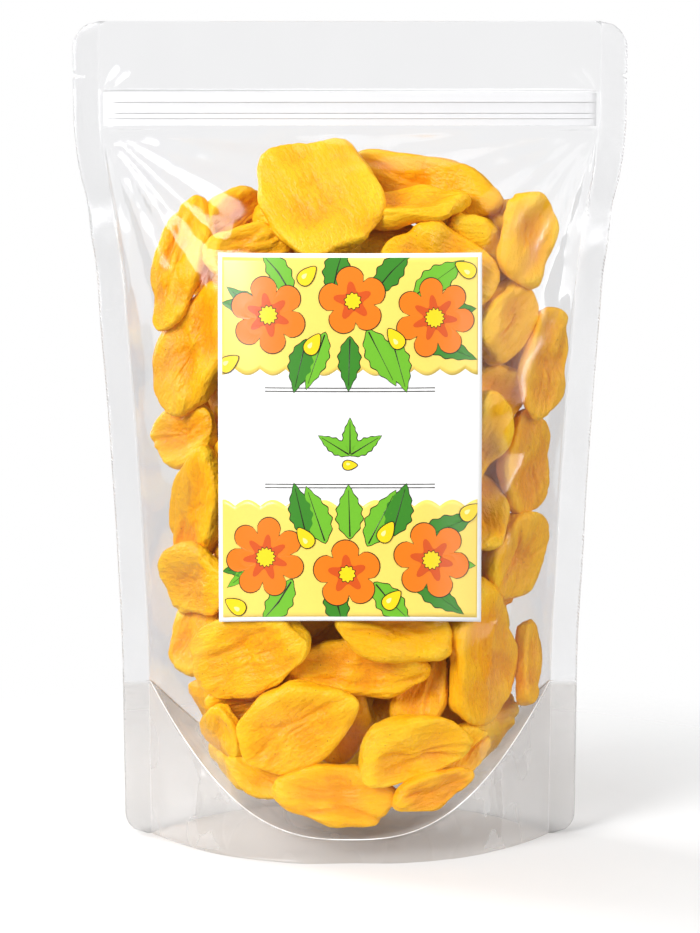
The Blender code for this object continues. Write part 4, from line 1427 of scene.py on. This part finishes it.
    def build(self, flesh: bpy.types.Material) -> bpy.types.Object:
        """Work out the piece's surface and store its grain, relief and tone.

        The ellipsoid's grid is filled out to a slab by a sum of powers, and to the solid by its reach.
        The film stops it, and near the gusset's weld its underside is lifted clear of the floor.

        Args:
            flesh: Its finish.

        Returns:
            The piece.
        """
        rng = np.random.default_rng(self.seed)
        middle, axes, half, ball, reach = self.form()
        reach = self.smoothed(reach)
        turn = (np.arange(self.around) * 2 * math.pi / self.around)[None, :]
        belt = 1 - (ball[..., 2] / half[2]) ** 2
        lobes = sum(rng.uniform(*self.lobes) * np.sin(count * turn + rng.uniform(0, 6.3))
                    for count in range(2, 6))
        out = np.hypot(ball[..., 0] / half[0], ball[..., 1] / half[1])
        flat = np.abs(ball[..., 2]) / half[2]
        slab = (out ** self.squareness + flat ** self.squareness) ** (-1.0 / self.squareness)
        body = ball * (reach * slab * (1.0 + belt * (lobes + self.fuller)))[..., None]
        normal = ball / half ** 2
        normal /= np.linalg.norm(normal, axis=-1)[..., None]
        height = self.relief(ball, half, rng)
        body = body + normal * height[..., None]
        poles = np.stack((body[0].mean(axis=0), body[-1].mean(axis=0)))
        local = np.concatenate((body.reshape(-1, 3), poles))
        heights = np.concatenate((height.ravel(), [height[0].mean(), height[-1].mean()]))
        world = middle + local @ axes
        above = world[:, 2] - FORM.weld(world[:, 0])
        world[:, 2] += self.lift * (1 - ease(above, 0.0, self.lift_reach))
        limit = FORM.bulge(world[:, 0], world[:, 2]) - self.film_room
        world[:, 1] = np.clip(world[:, 1], -limit, limit)
        piece = add_mesh(self.node + "_lobe", world, ball_faces(self.rings, self.around))
        piece.data.materials.append(flesh)
        set_outward(piece)
        add_value(piece, "grain", local + rng.uniform(-400, 400, 3))
        # The relief also steers the flesh's colour: a painted highlight on raised parts and painted shade in
        # hollows.
        add_value(piece, "relief", np.clip(heights / 1.6, -1, 1))
        add_value(piece, "tone", np.full(len(world), rng.uniform(0.0, 1.0)))
        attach(piece, BODY)
        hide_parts(self.node)
        return piece


@dataclass
class FruitHeap:
    """The fused pieces in the middle of the pouch, remeshed finely and wrinkled."""

    node: str = "jackfruit_heap_inside"
    voxel: float = 0.0017
    seed: int = 77
    swell: float = 1.6
    swell_end: tuple[float, float] = (42.0, 62.0)
    film_room: float = 0.6

    def build(self, flesh: bpy.types.Material) -> bpy.types.Object:
        """Remesh a merged copy of the solid, smooth it and raise wrinkles along its normals.

        Its middle swells a little, so that no light shows between the pieces, and film and floor stop it.

        Args:
            flesh: Its finish.

        Returns:
            The piece.
        """
        corners = solid_triangles(self.node)
        points, index = np.unique(np.round(corners.reshape(-1, 3), 4), axis=0, return_inverse=True)
        rough = add_mesh("heap_rough", points, [index.reshape(-1, 3)])
        remesh = rough.modifiers.new("remesh", "REMESH")
        remesh.mode = "VOXEL"
        remesh.voxel_size = self.voxel
        even = rough.modifiers.new("even", "SMOOTH")
        even.factor = 0.5
        even.iterations = 24
        graph = bpy.context.evaluated_depsgraph_get()
        mesh = bpy.data.meshes.new_from_object(rough.evaluated_get(graph))
        bpy.data.objects.remove(rough, do_unlink=True)
        places = read_array(mesh.vertices, "co") / MM
        normals = read_array(mesh.vertices, "normal")
        rng = np.random.default_rng(self.seed)
        x, y, z = places.T
        height = 0.5 * waves(rng, x + 0.4 * y, z, 15.0, 7) + 0.25 * waves(rng, x, 0.6 * z + y, 5.0, 8)
        height = height + self.swell * (1 - ease(np.abs(x), *self.swell_end))
        places = places + normals * height[:, None]
        limit = np.maximum(FORM.bulge(places[:, 0], places[:, 2]) - self.film_room, 0.5)
        places[:, 1] = np.clip(places[:, 1], -limit, limit)
        lowest = FORM.gusset(places[:, 0], places[:, 1]) + self.film_room
        places[:, 2] = np.maximum(places[:, 2], lowest)
        mesh.vertices.foreach_set("co", (places * MM).ravel())
        mesh.update()
        mesh.polygons.foreach_set("use_smooth", np.ones(len(mesh.polygons), bool))
        piece = bpy.data.objects.new(self.node + "_lobes", mesh)
        bpy.context.scene.collection.objects.link(piece)
        mesh.materials.clear()
        mesh.materials.append(flesh)
        add_value(piece, "grain", places)
        # The relief, swell included, also steers the flesh's colour: a painted highlight on raised parts and
        # painted shade in hollows.
        add_value(piece, "relief", np.clip(height / 1.2, -1, 1))
        add_value(piece, "tone", np.clip(0.35 + 0.3 * waves(rng, x, z, 40.0, 5), 0, 1))
        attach(piece, BODY)
        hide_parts(self.node)
        return piece


# Studio


@dataclass(frozen=True)
class SoftBox:
    """A large soft light, in metres and watts."""

    name: str
    place: tuple[float, float, float]
    size: tuple[float, float]
    power: float


@dataclass
class Studio:
    """A white floor that fades out, soft boxes round the pouch, and the camera."""

    boxes: tuple = (SoftBox("key", (-0.95, -1.0, 0.85), (0.75, 0.75), 29.5),
                    SoftBox("right_fill", (1.3, -0.72, 0.65), (1.5, 1.5), 20.5),
                    SoftBox("top", (0.1, 0.1, 1.3), (0.8, 0.8), 6.0),
                    SoftBox("back_left", (-0.95, 0.6, 0.6), (0.5, 0.9), 14.0))
    surround: float = 0.185
    floor_white: float = 0.72
    floor_fade: tuple[float, float] = (0.12, 0.28)
    distance: float = 1.0
    elevation: float = 7.57
    aim: Vector = field(default_factory=lambda: Vector((0.0, 0.0, 0.1383)))
    focal_pixels: float = 2720.0
    frame_height: float = 933.0
    sensor: float = 36.0

    def camera(self) -> None:
        """Set the camera at the photograph's viewing angle."""
        turn = math.radians(self.elevation)
        data = bpy.data.cameras.new("camera")
        data.sensor_width = self.sensor
        data.lens = self.focal_pixels / self.frame_height * self.sensor
        data.dof.use_dof = False
        camera = bpy.data.objects.new("camera", data)
        camera.location = self.aim + Vector((0, -math.cos(turn), math.sin(turn))) * self.distance
        camera.rotation_euler = (self.aim - camera.location).to_track_quat("-Z", "Y").to_euler()
        bpy.context.scene.collection.objects.link(camera)
        bpy.context.scene.camera = camera

    def lights(self) -> None:
        """Place the soft boxes, which all look at the pouch."""
        for box in self.boxes:
            data = bpy.data.lights.new(box.name, "AREA")
            data.shape = "RECTANGLE"
            data.size, data.size_y = box.size
            data.energy = box.power
            light = bpy.data.objects.new(box.name, data)
            light.location = box.place
            light.rotation_euler = (self.aim - light.location).to_track_quat("-Z", "Y").to_euler()
            bpy.context.scene.collection.objects.link(light)

    def world(self) -> None:
        """Give the camera a white background, and everything else a soft grey surround."""
        world = bpy.data.worlds.new("studio")
        world.use_nodes = True
        world.node_tree.nodes.clear()
        shader = Shader(world.node_tree)
        out = shader.node("ShaderNodeOutputWorld")
        seen = shader.node("ShaderNodeBackground", None, Color=(1.0, 1.0, 1.0), Strength=1.0)
        surround = shader.node("ShaderNodeBackground", None, Color=(1.0, 1.0, 1.0), Strength=self.surround)
        to_camera = shader.node("ShaderNodeLightPath").outputs["Is Camera Ray"]
        mix = shader.node("ShaderNodeMixShader", None, Fac=to_camera)
        shader.put(mix.inputs[1], surround.outputs[0])
        shader.put(mix.inputs[2], seen.outputs[0])
        shader.put(out.inputs["Surface"], mix.outputs[0])
        bpy.context.scene.world = world

    def floor(self) -> None:
        """Lay a white floor round the pouch, which fades into the background further out."""
        mesh = bpy.data.meshes.new("floor")
        corners = [(-3, -3, 0), (3, -3, 0), (3, 3, 0), (-3, 3, 0)]
        mesh.from_pydata(corners, [], [(0, 1, 2, 3)])
        floor = bpy.data.objects.new("floor", mesh)
        bpy.context.scene.collection.objects.link(floor)
        material, shader, out = new_material("studio_floor")
        place = shader.node("ShaderNodeTexCoord").outputs["Object"]
        far = shader.node("ShaderNodeVectorMath", {"operation": "LENGTH"}, Vector=place).outputs["Value"]
        white = shader.node("ShaderNodeBsdfPrincipled", None, Base_Color=(self.floor_white,) * 3,
                            Roughness=0.7)
        clear = shader.node("ShaderNodeBsdfTransparent")
        mix = shader.node("ShaderNodeMixShader", None, Fac=shader.spread(far, *self.floor_fade, 0.0, 1.0))
        shader.put(mix.inputs[1], white.outputs["BSDF"])
        shader.put(mix.inputs[2], clear.outputs["BSDF"])
        shader.put(out.inputs["Surface"], mix.outputs["Shader"])
        mesh.materials.append(material)

    def build(self) -> None:
        """Set up camera, lights, surround and floor."""
        self.camera()
        self.lights()
        self.world()
        self.floor()
        bpy.context.scene.view_settings.view_transform = "Standard"


def note(piece: bpy.types.Object) -> None:
    """Log a finished piece."""
    LOG.info("built %s with %d faces", piece.name, len(piece.data.polygons))


def main() -> None:
    """Build every piece in order."""
    logging.basicConfig(level=logging.INFO, format="%(message)s")
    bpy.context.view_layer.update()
    film = FilmFinish().make()
    seal_film = FilmFinish("embossed_seal_film", haze=0.03, roughness=0.14, sheen_strength=0.42, knurl=0.5,
                           mirror_share=0.6).make()
    # The gusset's ply tint is a little warm: a painted reflection of the fruit.
    gusset_film = FilmFinish("creased_gusset_film", ply_tint_and_reflection=(0.978, 0.974, 0.97), haze=0.05, ply_haze=0.05,
                             roughness=0.12, sheen_strength=0.16).make()
    plastic = ZipFinish().make()
    for side, node, seed in ((Side.FRONT, "front_panel", 3), (Side.BACK, "back_panel", 4)):
        note(FilmPanel(side, node, seed).build(film, seal_film))
    gusset = Gusset()
    note(gusset.floor(gusset_film))
    for side in Side:
        note(gusset.weld_bead(side, plastic))
    for side, node in ((Side.FRONT, "zip_strip_front"), (Side.BACK, "zip_strip_back")):
        note(ZipStrip(side, node).build(plastic))
    label = Label()
    note(label.build(PaperFinish("label_paper", (0.90, 0.90, 0.90)).make()))
    for piece in LabelPrint(label).build():
        note(piece)
    flesh = FruitFinish().make()
    lobes = sorted(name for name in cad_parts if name.startswith("jackfruit_piece_"))
    for number, node in enumerate(lobes):
        coarse = {"rings": 44, "around": 76} if number >= FRONT_COUNT else {}
        note(DriedLobe(node, 100 + number, **coarse).build(flesh))
    note(FruitHeap().build(flesh))
    Studio().build()


if __name__ == "__main__":
    main()
